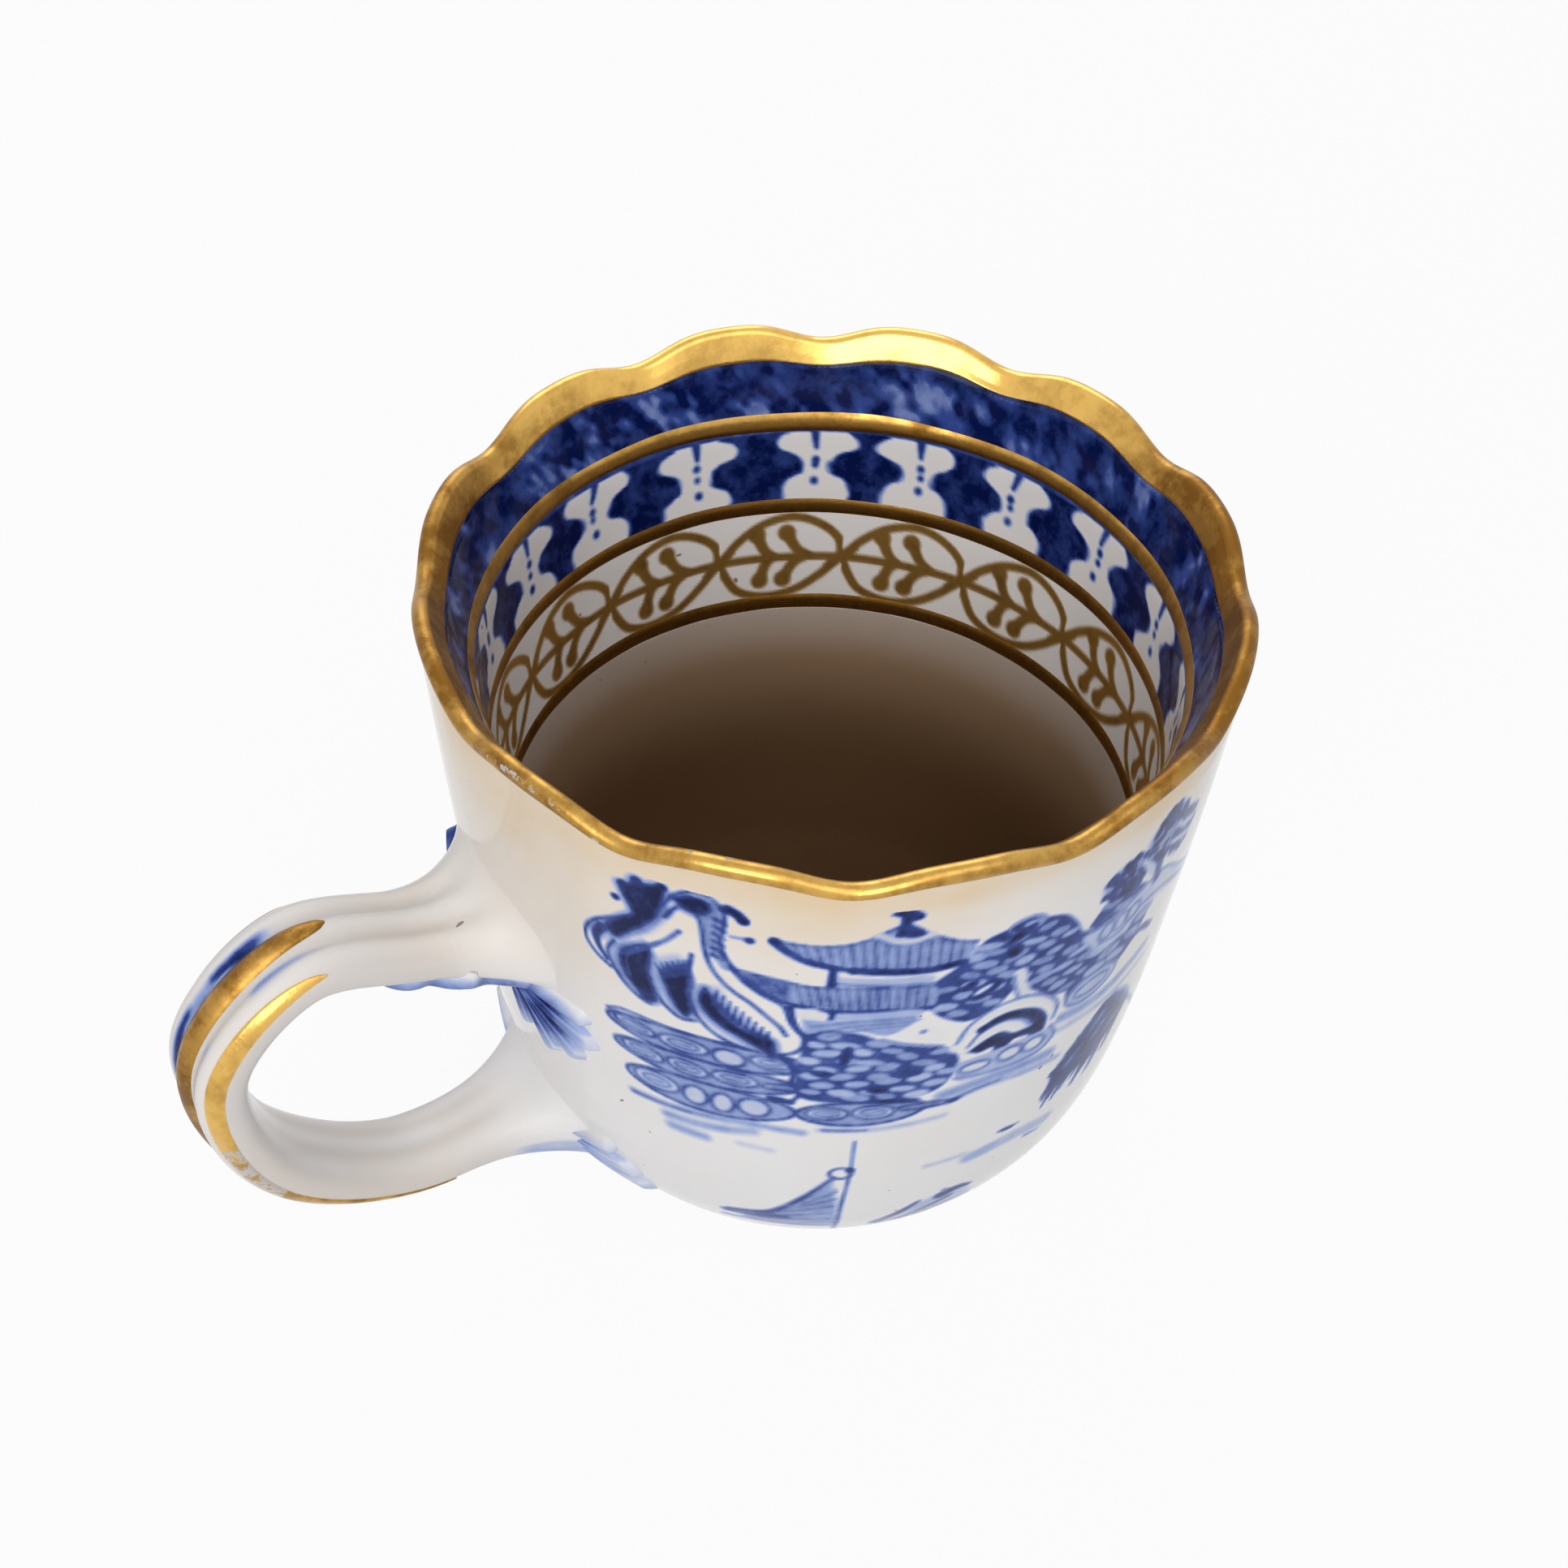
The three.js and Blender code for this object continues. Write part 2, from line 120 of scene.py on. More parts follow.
class CupColours(bpy.types.PropertyGroup):
    """Colours of glaze, painting and gold."""

    glaze: colour_property("Glaze", "White of the glazed porcelain", (0.86, 0.85, 0.845))
    # The cream tint is partly the glaze's ivory, partly a painted reflection of the gold under the lip and
    # painted warm shade beside the handle.
    cream: colour_property("Cream", "Warm tint of the glaze under the rim", (0.80, 0.60, 0.36))
    # The next two colours are painted shade: the glaze darkens through tan to brown inside the cup and
    # between the handle's ribs.
    tan: colour_property("Tan", "Lighter tint above the well", (0.34, 0.228, 0.140))
    brown_shade: colour_property("Stain", "Brown tint in the well of the cup", (0.165, 0.095, 0.046))
    cobalt_pale: colour_property("Pale cobalt", "Thin wash of blue", (0.33, 0.43, 0.74))
    cobalt_mid: colour_property("Middle cobalt", "Blue of the drawn lines", (0.040, 0.078, 0.32))
    cobalt_dark: colour_property("Dark cobalt", "Blue where it pools", (0.002, 0.008, 0.070))
    gold: colour_property("Gold", "Burnished gold", (0.78, 0.48, 0.125))
    # Dull gold serves both rubbed gold and painted shade on the gold.
    gold_dull: colour_property("Dull gold", "Rubbed and tarnished gold", (0.225, 0.105, 0.018))
    biscuit: colour_property("Biscuit", "Bare porcelain under the foot", (0.62, 0.55, 0.46))
    floor: colour_property("Floor", "Pale floor", (0.78, 0.78, 0.78))


# Curves and form of the cup, in millimetres round its own axis


def smooth_curve(points, steps):
    """Centripetal curve through the points, with that many steps in each span."""
    p = [np.array(q, float) for q in points]
    p = [2 * p[0] - p[1], *p, 2 * p[-1] - p[-2]]
    t = (np.arange(steps) / steps)[:, None]
    spans = []
    for a, b, c, d in zip(p, p[1:], p[2:], p[3:]):
        before, here, after = (np.linalg.norm(v) ** 0.5 for v in (b - a, c - b, d - c))
        leave = ((b - a) / before - (c - a) / (before + here) + (c - b) / here) * here
        arrive = ((c - b) / here - (d - b) / (here + after) + (d - c) / after) * here
        spans.append((2 * t**3 - 3 * t**2 + 1) * b + (t**3 - 2 * t**2 + t) * leave
                     + (3 * t**2 - 2 * t**3) * c + (t**3 - t**2) * arrive)
    return np.vstack([*spans, p[-2]])


def smoothstep(value, low, high):
    t = np.clip((value - low) / (high - low), 0, 1)
    return t * t * (3 - 2 * t)


def lengths_along(path):
    return np.concatenate([[0], np.cumsum(np.linalg.norm(np.diff(path, axis=0), axis=1))])


def evenly(path, count):
    """The same path at evenly spaced points."""
    along = lengths_along(path)
    at = np.linspace(0, along[-1], count)
    return np.stack([np.interp(at, along, path[:, k]) for k in range(path.shape[1])], axis=1)


class CupForm:
    """Sizes in millimetres, with the outer and inner curves of the bowl."""

    lip_taper = 10.0
    bevel = 0.5
    lobe_fade = 4.4
    lobe_swell = 0.3

    def __init__(self, sizes):
        self.height = sizes.body_height / MM
        self.rim = sizes.rim_radius / MM
        self.wall_full = sizes.wall / MM
        self.lip_wall = sizes.lip_wall / MM
        self.lip = sizes.lip_edge / MM
        self.lobes = sizes.lobes
        self.lobe_height = sizes.lobe_height / MM
        self.foot_radius = sizes.foot_radius / MM
        self.foot_height = sizes.foot_height / MM
        self.reach = sizes.handle_reach / MM
        self.width = sizes.strap_width / MM
        self.thickness = sizes.strap_thickness / MM
        top = self.height - self.lip / 2
        self.outer = smooth_curve([
            (self.foot_radius, self.foot_height),
            (self.rim - 11, 5.4),
            (self.rim - 7.1, 11.4),
            (self.rim - 4.7, 20.3),
            (self.rim - 1.8, self.height - 24),
            (self.rim, top),
        ], 80)
        along = np.gradient(self.outer, axis=0)
        along /= np.linalg.norm(along, axis=1)[:, None]
        self.normals = np.stack([along[:, 1], -along[:, 0]], axis=1)
        depth = top - self.outer[:, 1]
        walls = self.lip_wall + (self.wall_full - self.lip_wall) * smoothstep(depth, 0, self.lip_taper)
        edge = self.lip / 2 * (1 + math.hypot(1, self.bevel))
        walls = np.minimum(walls, edge + self.bevel * depth)
        inner = self.outer - walls[:, None] * self.normals
        self.inner = inner[(inner[:, 1] > self.foot_height + 4.7) & (inner[:, 1] < top - 0.2)]

    def outer_at(self, z, lift=0.0):
        return np.interp(z, self.outer[:, 1], self.outer[:, 0]) + lift

    def inner_at(self, z, lift=0.0):
        return np.interp(z, self.inner[:, 1], self.inner[:, 0]) - lift

    def lip_arc(self, lift, steps):
        turn = np.linspace(0, math.pi - math.atan(self.bevel), steps + 1)
        radius = self.lip / 2 + lift
        centre = np.array([self.rim - self.lip / 2, self.height - self.lip / 2])
        return centre + radius * np.stack([np.cos(turn), np.sin(turn)], axis=1)

    def lobed(self, angle, radius, z):
        """Raises and swells the points near the rim where the rim has lobes."""
        turn = self.lobes * angle + math.pi
        wave = (np.cos(turn) - 0.2 * np.cos(2 * turn) + 0.2) / 2
        wave = np.where(radius < self.rim / 2, 0, wave * (1 - smoothstep(self.height - z, 0, self.lobe_fade)))
        return angle, radius + self.lobe_swell * wave, z + self.lobe_height * wave


class Loop:
    """Path and section of the handle's strap, in the plane y = 0."""

    sink = 3.0
    flare = 3.4
    flare_length = 11.0
    fillet = 8.0
    blend = 9.0
    slimmer = 0.13
    apron = 4.6
    rib_height = 0.32
    ribs = 3

    def __init__(self, form):
        self.form = form
        upper, lower = form.height - 27.5, 14.7
        wall_up, wall_low = form.outer_at(upper), form.outer_at(lower)
        span = upper - lower
        self.roots = (wall_up, wall_low)
        points = [
            (wall_up - self.sink, upper),
            (wall_up + 0.30 * form.reach, upper + 3.12),
            (wall_up + 0.69 * form.reach, upper + 6.5),
            (wall_up + form.reach, upper - 0.06 * span),
            (wall_up + 0.90 * form.reach, upper - 0.64 * span),
            (wall_up + 0.44 * form.reach, lower - 0.035 * span),
            (wall_low - self.sink, lower),
        ]
        path = smooth_curve([(-r, z) for r, z in points], 60)
        self.length = lengths_along(path)[-1]
        self.path = evenly(path, 601)
        along = np.gradient(self.path, axis=0)
        self.along = along / np.linalg.norm(along, axis=1)[:, None]

    def at(self, u):
        index = np.linspace(0, 1, len(self.path))
        point = np.array([np.interp(u, index, self.path[:, k]) for k in range(2)])
        along = np.array([np.interp(u, index, self.along[:, k]) for k in range(2)])
        return point, along / np.linalg.norm(along)

    def from_wall(self, u):
        return min(u, 1 - u) * self.length - self.sink

    def swell(self, u):
        """Extra width and thickness near the roots."""
        return self.flare * max(0.0, 1 - max(0.0, self.from_wall(u)) / self.flare_length) ** 2

    def root_fillet(self, u):
        """Extra width and height where the strap runs out onto the wall."""
        near = 1 - min(max(0.0, self.from_wall(u)), self.fillet) / self.fillet
        return 0.9 * self.fillet * (1 - math.sqrt(1 - near**2))

    def root_share(self, u):
        """How much the section follows the wall: 1 at a root, and 0 away from it."""
        return 1 - smoothstep(self.from_wall(u), 0, self.blend)

    def stops(self, count):
        """Places along the path, closest where the strap runs out onto the wall."""
        last = (self.sink + self.fillet) / self.length
        root = (self.sink + self.fillet * np.linspace(0, 1, 17)[:-1] ** 2) / self.length
        middle = np.linspace(last, 1 - last, count)
        buried = (self.sink - 0.4) / self.length
        return np.concatenate([[0.012, buried], root, middle, 1 - root[::-1], [1 - buried, 0.988]])

    def face(self, across, width, thickness, ribs):
        side = np.abs(2 * across / width)
        crown = thickness / 2 * np.maximum(0, 1 - side**2.7) ** (1 / 2.7)
        return crown + ribs * np.cos(math.tau * self.ribs * across / width) * np.maximum(0, 1 - side**4)

    def section(self, u, outside=56, inside=28):
        """Points of the section, counter-clockwise: ribbed outer face, then back along the inner face."""
        extra, fillet = self.swell(u), self.root_fillet(u)
        slim = 1 - self.slimmer * smoothstep(u, 0.60, 0.80)
        apron = self.apron * (1 - smoothstep(self.from_wall(u), 0, 12)) if u > 0.5 else 0.0
        width = slim * self.form.width + extra + fillet
        thickness = slim * self.form.thickness + extra
        ribs = self.rib_height * max(0.0, 1 - extra / self.flare)
        over = width / 2 * np.cos(math.pi * np.arange(outside) / outside)
        under = -width / 2 * np.cos(math.pi * np.arange(inside) / inside)
        return np.vstack([
            np.stack([over, self.face(over, width, thickness + fillet + apron, ribs)], axis=1),
            np.stack([under, -self.face(under, width, thickness, 0)], axis=1),
        ])

    def place(self, u, across, height):
        """Points beside the path: across is along y, height is out of the loop."""
        point, along = self.at(u)
        level = np.array([-1.0 if u < 0.5 else 1.0, 0.0])
        along = along + self.root_share(u) * (level - along)
        along /= np.linalg.norm(along)
        x = point[0] + along[1] * height
        z = point[1] - along[0] * height
        placed = np.stack(np.broadcast_arrays(x, across, z), axis=-1).astype(float)
        return self.hug_wall(u, placed)

    def hug_wall(self, u, placed):
        """Near a root, the section follows the curve of the wall that it stands on."""
        radius = self.roots[0] if u < 0.5 else self.roots[1]
        fade = self.root_share(u)
        if fade <= 0:
            return placed
        wall = self.form.outer_at(placed[..., 2])
        face = np.sqrt(np.maximum(wall**2 - placed[..., 1] ** 2, 1))
        placed[..., 0] += fade * (radius - face)
        return placed


def grow_outline(outline, amount):
    """The closed outline moved outwards by that amount, or by one amount for each point."""
    along = np.roll(outline, -1, axis=0) - np.roll(outline, 1, axis=0)
    along /= np.linalg.norm(along, axis=1)[:, None]
    return outline + np.stack([along[:, 1], -along[:, 0]], axis=1) * np.reshape(amount, (-1, 1))


# Meshes


def spun(profile, steps, angle=math.tau, close=False):
    """A profile of radius and height, wrapped round the axis as a grid. A part turn has its ends capped."""
    profile = np.array([*profile, profile[0]] if close else profile)
    last = len(profile) - 1
    bm = bmesh.new()
    row = bm.verts.layers.int.new("row")
    bmesh.ops.create_grid(bm, x_segments=steps, y_segments=last, size=1)
    flat = np.array([vert.co for vert in bm.verts])
    turn = angle * (flat[:, 0] + 1) / 2
    numbers = np.rint((flat[:, 1] + 1) / 2 * last).astype(int)
    radius, z = profile[numbers].T
    points = np.stack([radius * np.cos(turn), radius * np.sin(turn), z], axis=1)
    for vert, point, number in zip(bm.verts, points, numbers):
        vert.co = point
        vert[row] = number % last if close else number
    bmesh.ops.remove_doubles(bm, verts=bm.verts, dist=1e-5)
    if angle < math.tau:
        bmesh.ops.holes_fill(bm, edges=[edge for edge in bm.edges if edge.is_boundary], sides=0)
    return bm


def reshape(bm, change):
    """Moves the points of a spun shape by a function of their angle, radius, height and row."""
    co = np.array([vert.co for vert in bm.verts])
    layer = bm.verts.layers.int["row"]
    rows = np.array([vert[layer] for vert in bm.verts])
    angle, radius, z = change(np.arctan2(co[:, 1], co[:, 0]), np.hypot(co[:, 0], co[:, 1]), co[:, 2], rows)
    for vert, point in zip(bm.verts, np.stack([radius * np.cos(angle), radius * np.sin(angle), z], axis=1)):
        vert.co = point


def swept(rings):
    """Closed rings of points, skinned by extruding a capped circle from each ring to the next."""
    bm = bmesh.new()
    slot = bm.verts.layers.int.new("slot")
    station = bm.verts.layers.int.new("station")
    bmesh.ops.create_circle(bm, cap_ends=True, segments=len(rings[0]), radius=1)
    for number, vert in enumerate(bm.verts):
        vert[slot] = number
        vert.co = rings[0][number]
    bm.faces.ensure_lookup_table()
    cap = bm.faces[0]
    for number, ring in enumerate(rings[1:], 1):
        grown = bmesh.ops.extrude_face_region(bm, geom=[cap])["geom"]
        for item in grown:
            if isinstance(item, bmesh.types.BMVert):
                item.co = ring[item[slot]]
                item[station] = number
            elif isinstance(item, bmesh.types.BMFace):
                cap = item
    return bm


def relief(rows, columns, over, under):
    """A sheet with a top and an underside, both given as functions of two arrays from 0 to 1 and -1 to 1."""
    bm = bmesh.new()
    bmesh.ops.create_grid(bm, x_segments=rows, y_segments=columns, size=1)
    flat = np.array([vert.co for vert in bm.verts])
    along, across = (flat[:, 0] + 1) / 2, flat[:, 1]
    marks = [bm.verts.layers.float.new(name) for name in ("along", "across")]
    for vert, a, b in zip(bm.verts, along, across):
        vert[marks[0]] = a
        vert[marks[1]] = b
    first = list(bm.verts)
    lifted = bmesh.ops.extrude_face_region(bm, geom=list(bm.faces))["geom"]
    lifted = [item for item in lifted if isinstance(item, bmesh.types.BMVert)]
    for verts, shape in ((first, under), (lifted, over)):
        a = np.array([vert[marks[0]] for vert in verts])
        b = np.array([vert[marks[1]] for vert in verts])
        for vert, point in zip(verts, shape(a, b)):
            vert.co = point
    return bm


def add_piece(name, bm, material, nodes=(), sharp=38):
    """Places a shape that is in cup millimetres, and makes it a piece of the part."""
    bmesh.ops.recalc_face_normals(bm, faces=bm.faces)
    bmesh.ops.transform(bm, matrix=PLACE, verts=bm.verts)
    mesh = bpy.data.meshes.new(name)
    bm.to_mesh(mesh)
    bm.free()
    mesh.shade_smooth()
    mesh.set_sharp_from_angle(angle=math.radians(sharp))
    mesh.materials.append(material)
    piece = bpy.data.objects.new(name, mesh)
    bpy.context.scene.collection.objects.link(piece)
    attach(piece, "root")
    if nodes:
        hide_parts(*nodes)
    return piece


def cup_points(piece):
    """Angle in degrees, radius and height of each point, in cup millimetres."""
    co = np.zeros(len(piece.data.vertices) * 3)
    piece.data.vertices.foreach_get("co", co)
    co = (co.reshape(-1, 3) - np.array(AXIS)) / MM
    angle = np.degrees(np.arctan2(co[:, 1], co[:, 0])) % 360
    return angle, np.hypot(co[:, 0], co[:, 1]), co[:, 2]


def marks_of(piece, name):
    layer = piece.data.attributes[name]
    values = np.zeros(len(layer.data), np.float32 if layer.data_type == "FLOAT" else np.int32)
    layer.data.foreach_get("value", values)
    return values


def paint(piece, name, values):
    layer = piece.data.attributes.new(name, "FLOAT", "POINT")
    layer.data.foreach_set("value", np.clip(values, 0, 1).astype(np.float32))


def blotches(u, v, seed, around=0):
    """Soft random values from 0 to 1 on a unit lattice. The lattice repeats after that many cells across."""
    rng = np.random.default_rng(seed)
    size = 64
    lattice = rng.random((size, size))
    i, j = np.floor(u).astype(int), np.floor(v).astype(int)
    fu, fv = u - i, v - j
    fu, fv = fu * fu * (3 - 2 * fu), fv * fv * (3 - 2 * fv)
    wrap = around or size
    a, b = i % wrap % size, (i + 1) % wrap % size
    c, d = j % size, (j + 1) % size
    low = lattice[a, c] * (1 - fu) + lattice[b, c] * fu
    high = lattice[a, d] * (1 - fu) + lattice[b, d] * fu
    return low * (1 - fv) + high * fv


# Painting

# How far below the rim the painting inside the mouth reaches: mottled band, pendants and gilt chain
BAND_END = 8.3
PENDANT_END = 18.2
CHAIN_START, CHAIN_MIDDLE, CHAIN_END = 18.8, 24.9, 31.4
CHAIN_RISE = 5.0
BORDER_RADIUS = 33.0
CHAIN_RADIUS = 32.0
CHAIN_TURN = 6.9
PENDANT_TURN = 2.1


class Canvas:
    """Ink from 0 to 1 on points of an unrolled wall, in millimetres."""

    def __init__(self, across, height):
        self.x = across
        self.y = height
        self.ink = np.zeros(len(across))

    def within(self, points, margin):
        low, high = points.min(0) - margin, points.max(0) + margin
        return np.flatnonzero((self.x > low[0]) & (self.x < high[0]) & (self.y > low[1]) & (self.y < high[1]))

    def lay(self, picked, cover, ink):
        self.ink[picked] += cover * (ink - self.ink[picked])

    def nearest(self, picked, path):
        """Distance to a path of points, and how far along the path the nearest point is, from 0 to 1."""
        a, b = path[:-1], path[1:]
        run = b - a
        px = self.x[picked][:, None] - a[:, 0]
        py = self.y[picked][:, None] - a[:, 1]
        t = np.clip((px * run[:, 0] + py * run[:, 1]) / np.maximum((run**2).sum(1), 1e-9), 0, 1)
        far = np.hypot(px - t * run[:, 0], py - t * run[:, 1])
        best = far.argmin(1)
        rows = np.arange(len(picked))
        return far[rows, best], (best + t[rows, best]) / len(a)

    def stroke(self, points, width, ink, soft=0.48):
        """A brush line. A pair of widths tapers it from its start to its end."""
        path = smooth_curve(points, 6) if len(points) > 2 else np.array(points, float)
        start, end = width if isinstance(width, tuple) else (width, width)
        picked = self.within(path, max(start, end) + soft)
        if len(picked):
            far, along = self.nearest(picked, path)
            edge = far - (start + (end - start) * along) / 2
            self.lay(picked, np.clip(0.5 - edge / soft, 0, 1), ink)

    def fill(self, points, ink, soft=0.48):
        """A closed shape with soft edges."""
        path = smooth_curve([*points, points[0]], 6)
        picked = self.within(path, soft)
        if not len(picked):
            return
        far, _ = self.nearest(picked, path)
        self.lay(picked, np.clip(0.5 - np.where(self.inside(picked, path), -far, far) / soft, 0, 1), ink)

    def inside(self, picked, path):
        x, y = self.x[picked][:, None], self.y[picked][:, None]
        (ax, ay), (bx, by) = path[:-1].T, path[1:].T
        crosses = (ay > y) != (by > y)
        level = np.where(by == ay, 1, by - ay)
        return (crosses & (x < ax + (y - ay) * (bx - ax) / level)).sum(1) % 2 == 1

    def oval(self, centre, half, ink, tilt=0.0, line=None, soft=0.48):
        """A filled oval, or its outline where a line width is given. Tilt is in degrees."""
        reach = np.array([centre]) + max(half) * np.array([[-1, -1], [1, 1]])
        picked = self.within(reach, soft + (line or 0))
        turn = math.radians(tilt)
        dx, dy = self.x[picked] - centre[0], self.y[picked] - centre[1]
        qx = (dx * math.cos(turn) + dy * math.sin(turn)) / half[0]
        qy = (dy * math.cos(turn) - dx * math.sin(turn)) / half[1]
        size = np.maximum(np.hypot(qx, qy), 1e-6)
        edge = (size - 1) * size / np.maximum(np.hypot(qx / half[0], qy / half[1]), 1e-6)
        if line:
            edge = np.abs(edge) - line / 2
        self.lay(picked, np.clip(0.5 - edge / soft, 0, 1), ink)

    def scales(self, outline, seed, size=(1.25, 0.56), ground=0.82, light=0.34, tilt=-6):
        """A patch of dark ground with rows of pale oval leaves."""
        self.fill(outline, ground, 0.5)
        rng = np.random.default_rng(seed)
        shape = smooth_curve([*outline, outline[0]], 4)
        low, high = shape.min(0), shape.max(0)
        patch = Canvas(np.zeros(1), np.zeros(1))
        for row, y in enumerate(np.arange(low[1] + 0.7, high[1], 2.3 * size[1])):
            for x in np.arange(low[0] + (row % 2) * 1.2 * size[0], high[0], 2.28 * size[0]):
                at = np.array([x, y]) + rng.normal(0, (0.22, 0.12))
                half = (size[0] * rng.uniform(0.72, 1.08), size[1] * rng.uniform(0.8, 1.15))
                lean = tilt + rng.normal(0, 9)
                tone = light + rng.uniform(-0.05, 0.12)
                patch.x, patch.y = at[:1], at[1:]
                picked = np.array([0])
                if patch.inside(picked, shape)[0] and patch.nearest(picked, shape)[0][0] > 0.45:
                    self.oval(at, half, tone, lean, soft=0.45)


def hatch(canvas, start, step, reach, change, count, width, ink, soft=0.48):
    """A row of short brush lines. Each starts one step on, and its reach changes evenly."""
    start, step, reach, change = (np.array(pair) for pair in (start, step, reach, change))
    for number in range(count):
        foot = start + number * step
        canvas.stroke([foot, foot + (reach + number * change)], width, ink, soft)


def strewn(rng, centre, reach, count, core):
    """Random points over an oval, apart from that share of its middle."""
    turns = rng.uniform(0, math.tau, count)
    far = np.sqrt(rng.uniform(core, 1, count))
    around = np.stack([np.cos(turns), np.sin(turns)], axis=1)
    return np.array(centre) + far[:, None] * np.array(reach) * around


def draw_crag(canvas):
    """Tall curling crag with dark tufts."""
    canvas.stroke([(-12.6, 62.5), (-14.4, 59.3), (-16.9, 57.2), (-18.8, 55.6)], 2.2, 0.30, 0.9)
    canvas.stroke([(-8.1, 64.6), (-8.3, 61.5), (-7.9, 58.9), (-7.0, 57.0)], (1.5, 1.2), 0.44, 0.5)
    canvas.fill([(-17.4, 55.3), (-17.9, 53.2), (-17.0, 50.2), (-14.6, 48.2), (-13.6, 49.0), (-14.0, 52.5),
                 (-14.0, 56.2)], 0.30, 0.8)
    canvas.fill([(-13.8, 55.2), (-13.9, 52.0), (-12.2, 48.4), (-10.4, 47.6), (-9.8, 50.0), (-10.2, 54.0),
                 (-11.0, 57.0)], 0.22, 0.9)
    canvas.fill([(-9.9, 53.0), (-10.0, 50.4), (-8.4, 47.0), (-4.6, 45.0), (-2.6, 45.2), (-2.4, 47.0),
                 (-6.2, 49.6), (-7.6, 54.0)], 0.18, 0.9)
    outlines = [
        [(-12.9, 63.2), (-14.2, 60.6), (-16.6, 58.8), (-18.8, 57.2), (-20.1, 55.2), (-20.2, 53.6),
         (-19.2, 52.0), (-17.9, 51.1)],
        [(-17.3, 55.2), (-18.0, 53.4), (-17.6, 51.6), (-16.6, 49.7), (-15.4, 48.5), (-14.2, 48.0)],
        [(-13.9, 55.4), (-14.1, 53.0), (-13.6, 50.4), (-12.5, 48.4), (-11.2, 47.4), (-9.9, 47.7)],
        [(-10.0, 57.4), (-10.3, 55.0), (-10.1, 53.0), (-10.4, 51.2), (-9.9, 49.0), (-8.8, 47.1),
         (-7.4, 45.9), (-5.8, 45.2), (-4.0, 44.8)],
        [(-13.1, 61.8), (-12.0, 63.9), (-10.9, 65.4), (-9.5, 66.2), (-8.2, 65.8), (-7.3, 64.6),
         (-7.2, 62.6), (-7.5, 60.4), (-7.2, 58.4), (-6.3, 56.7)],
        [(-12.2, 61.6), (-11.3, 63.2), (-10.2, 64.0), (-9.3, 62.8), (-9.0, 60.6), (-8.8, 58.4),
         (-8.3, 56.3), (-7.5, 54.8), (-6.4, 53.5), (-5.0, 52.3), (-3.5, 50.6), (-2.4, 49.2), (-1.9, 48.1)],
        [(-6.6, 56.9), (-5.6, 55.3), (-4.0, 53.8), (-2.3, 52.6), (-1.6, 51.2), (-1.2, 49.6), (-0.4, 48.2),
         (-0.3, 46.8), (-1.1, 45.5), (-2.6, 44.8)],
        [(-11.0, 60.2), (-12.2, 58.4), (-13.4, 57.0)],
    ]
    for line in outlines:
        canvas.stroke(line, 0.48, 0.72)
    darks = [
        [(-16.2, 63.8), (-15.2, 64.3), (-14.7, 65.3), (-13.8, 65.0), (-12.4, 65.5), (-12.6, 63.2),
         (-13.3, 61.0), (-14.3, 59.3), (-15.8, 57.6), (-17.1, 56.2), (-17.9, 56.9), (-16.5, 58.8),
         (-15.1, 60.5), (-15.7, 62.4)],
        [(-11.2, 64.5), (-10.4, 63.6), (-9.2, 63.4), (-8.4, 64.1), (-8.6, 65.1), (-10.0, 65.3)],
        [(-14.2, 56.6), (-15.7, 55.2), (-16.7, 53.4), (-16.4, 51.4), (-15.3, 49.6), (-14.5, 48.4),
         (-13.7, 48.7), (-13.8, 50.6), (-14.2, 53.2), (-13.9, 55.6)],
        [(-10.9, 55.4), (-11.8, 54.6), (-12.6, 53.3), (-12.3, 51.3), (-11.6, 49.4), (-10.8, 48.2),
         (-10.4, 49.2), (-10.7, 51.6), (-10.4, 54.0)],
        [(-8.9, 53.0), (-9.3, 51.5), (-8.9, 49.7), (-7.6, 48.1), (-5.5, 46.7), (-3.8, 45.3), (-3.1, 44.5),
         (-3.2, 46.8), (-4.6, 47.4), (-6.2, 48.2), (-7.4, 49.6), (-8.1, 51.4)],
    ]
    for shape in darks:
        canvas.stroke([*shape, shape[0]], 1.0, 0.62, 0.9)
    for shape in darks:
        canvas.fill(shape, 1.0, 0.55)
    canvas.stroke([(-18.4, 56.4), (-19.1, 55.0), (-18.9, 53.4), (-18.2, 52.0)], (1.1, 0.5), 0.84, 0.45)
    canvas.stroke([(-6.9, 64.9), (-6.1, 64.4), (-5.6, 63.6)], (1.2, 0.9), 0.90, 0.5)
    canvas.stroke([(-6.6, 61.3), (-5.0, 61.3)], 0.35, 0.6)
    for dot in ((-16.7, 61.7), (-15.9, 64.0), (-14.6, 65.2), (-12.3, 65.5), (-5.6, 63.8), (-5.1, 61.2)):
        canvas.oval(dot, (0.42, 0.42), 0.92)
    hatch(canvas, (-8.2, 50.8), (0.56, -0.50), (0.35, 2.3), (0, -0.10), 9, (0.62, 0.2), 0.80)
    hatch(canvas, (-10.6, 54.4), (-0.32, -0.24), (0.5, 2.2), (-0.22, -0.12), 7, (0.5, 0.16), 0.74)
    hatch(canvas, (-14.2, 56.2), (-0.42, -0.42), (1.3, 1.5), (-0.1, -0.1), 6, (0.6, 0.2), 0.66)
    hatch(canvas, (-7.9, 63.2), (-0.06, -1.0), (0.9, -0.5), (0, 0), 6, (0.5, 0.2), 0.70)
    canvas.stroke([(-15.0, 55.6), (-16.1, 53.6), (-15.9, 51.2)], 0.16, 0.60)


def tiles(canvas, top, bottom, xs, ink):
    """Lines of roof tiles from one edge of a roof to the other."""
    top, bottom = np.array(top), np.array(bottom)
    for x in xs:
        upper = (x, np.interp(x, top[:, 0], top[:, 1]))
        lean = x - 0.05 * (x - 5)
        lower = (lean + 0.35, np.interp(lean + 0.35, bottom[:, 0], bottom[:, 1]))
        canvas.stroke([upper, lower], 0.30, ink)


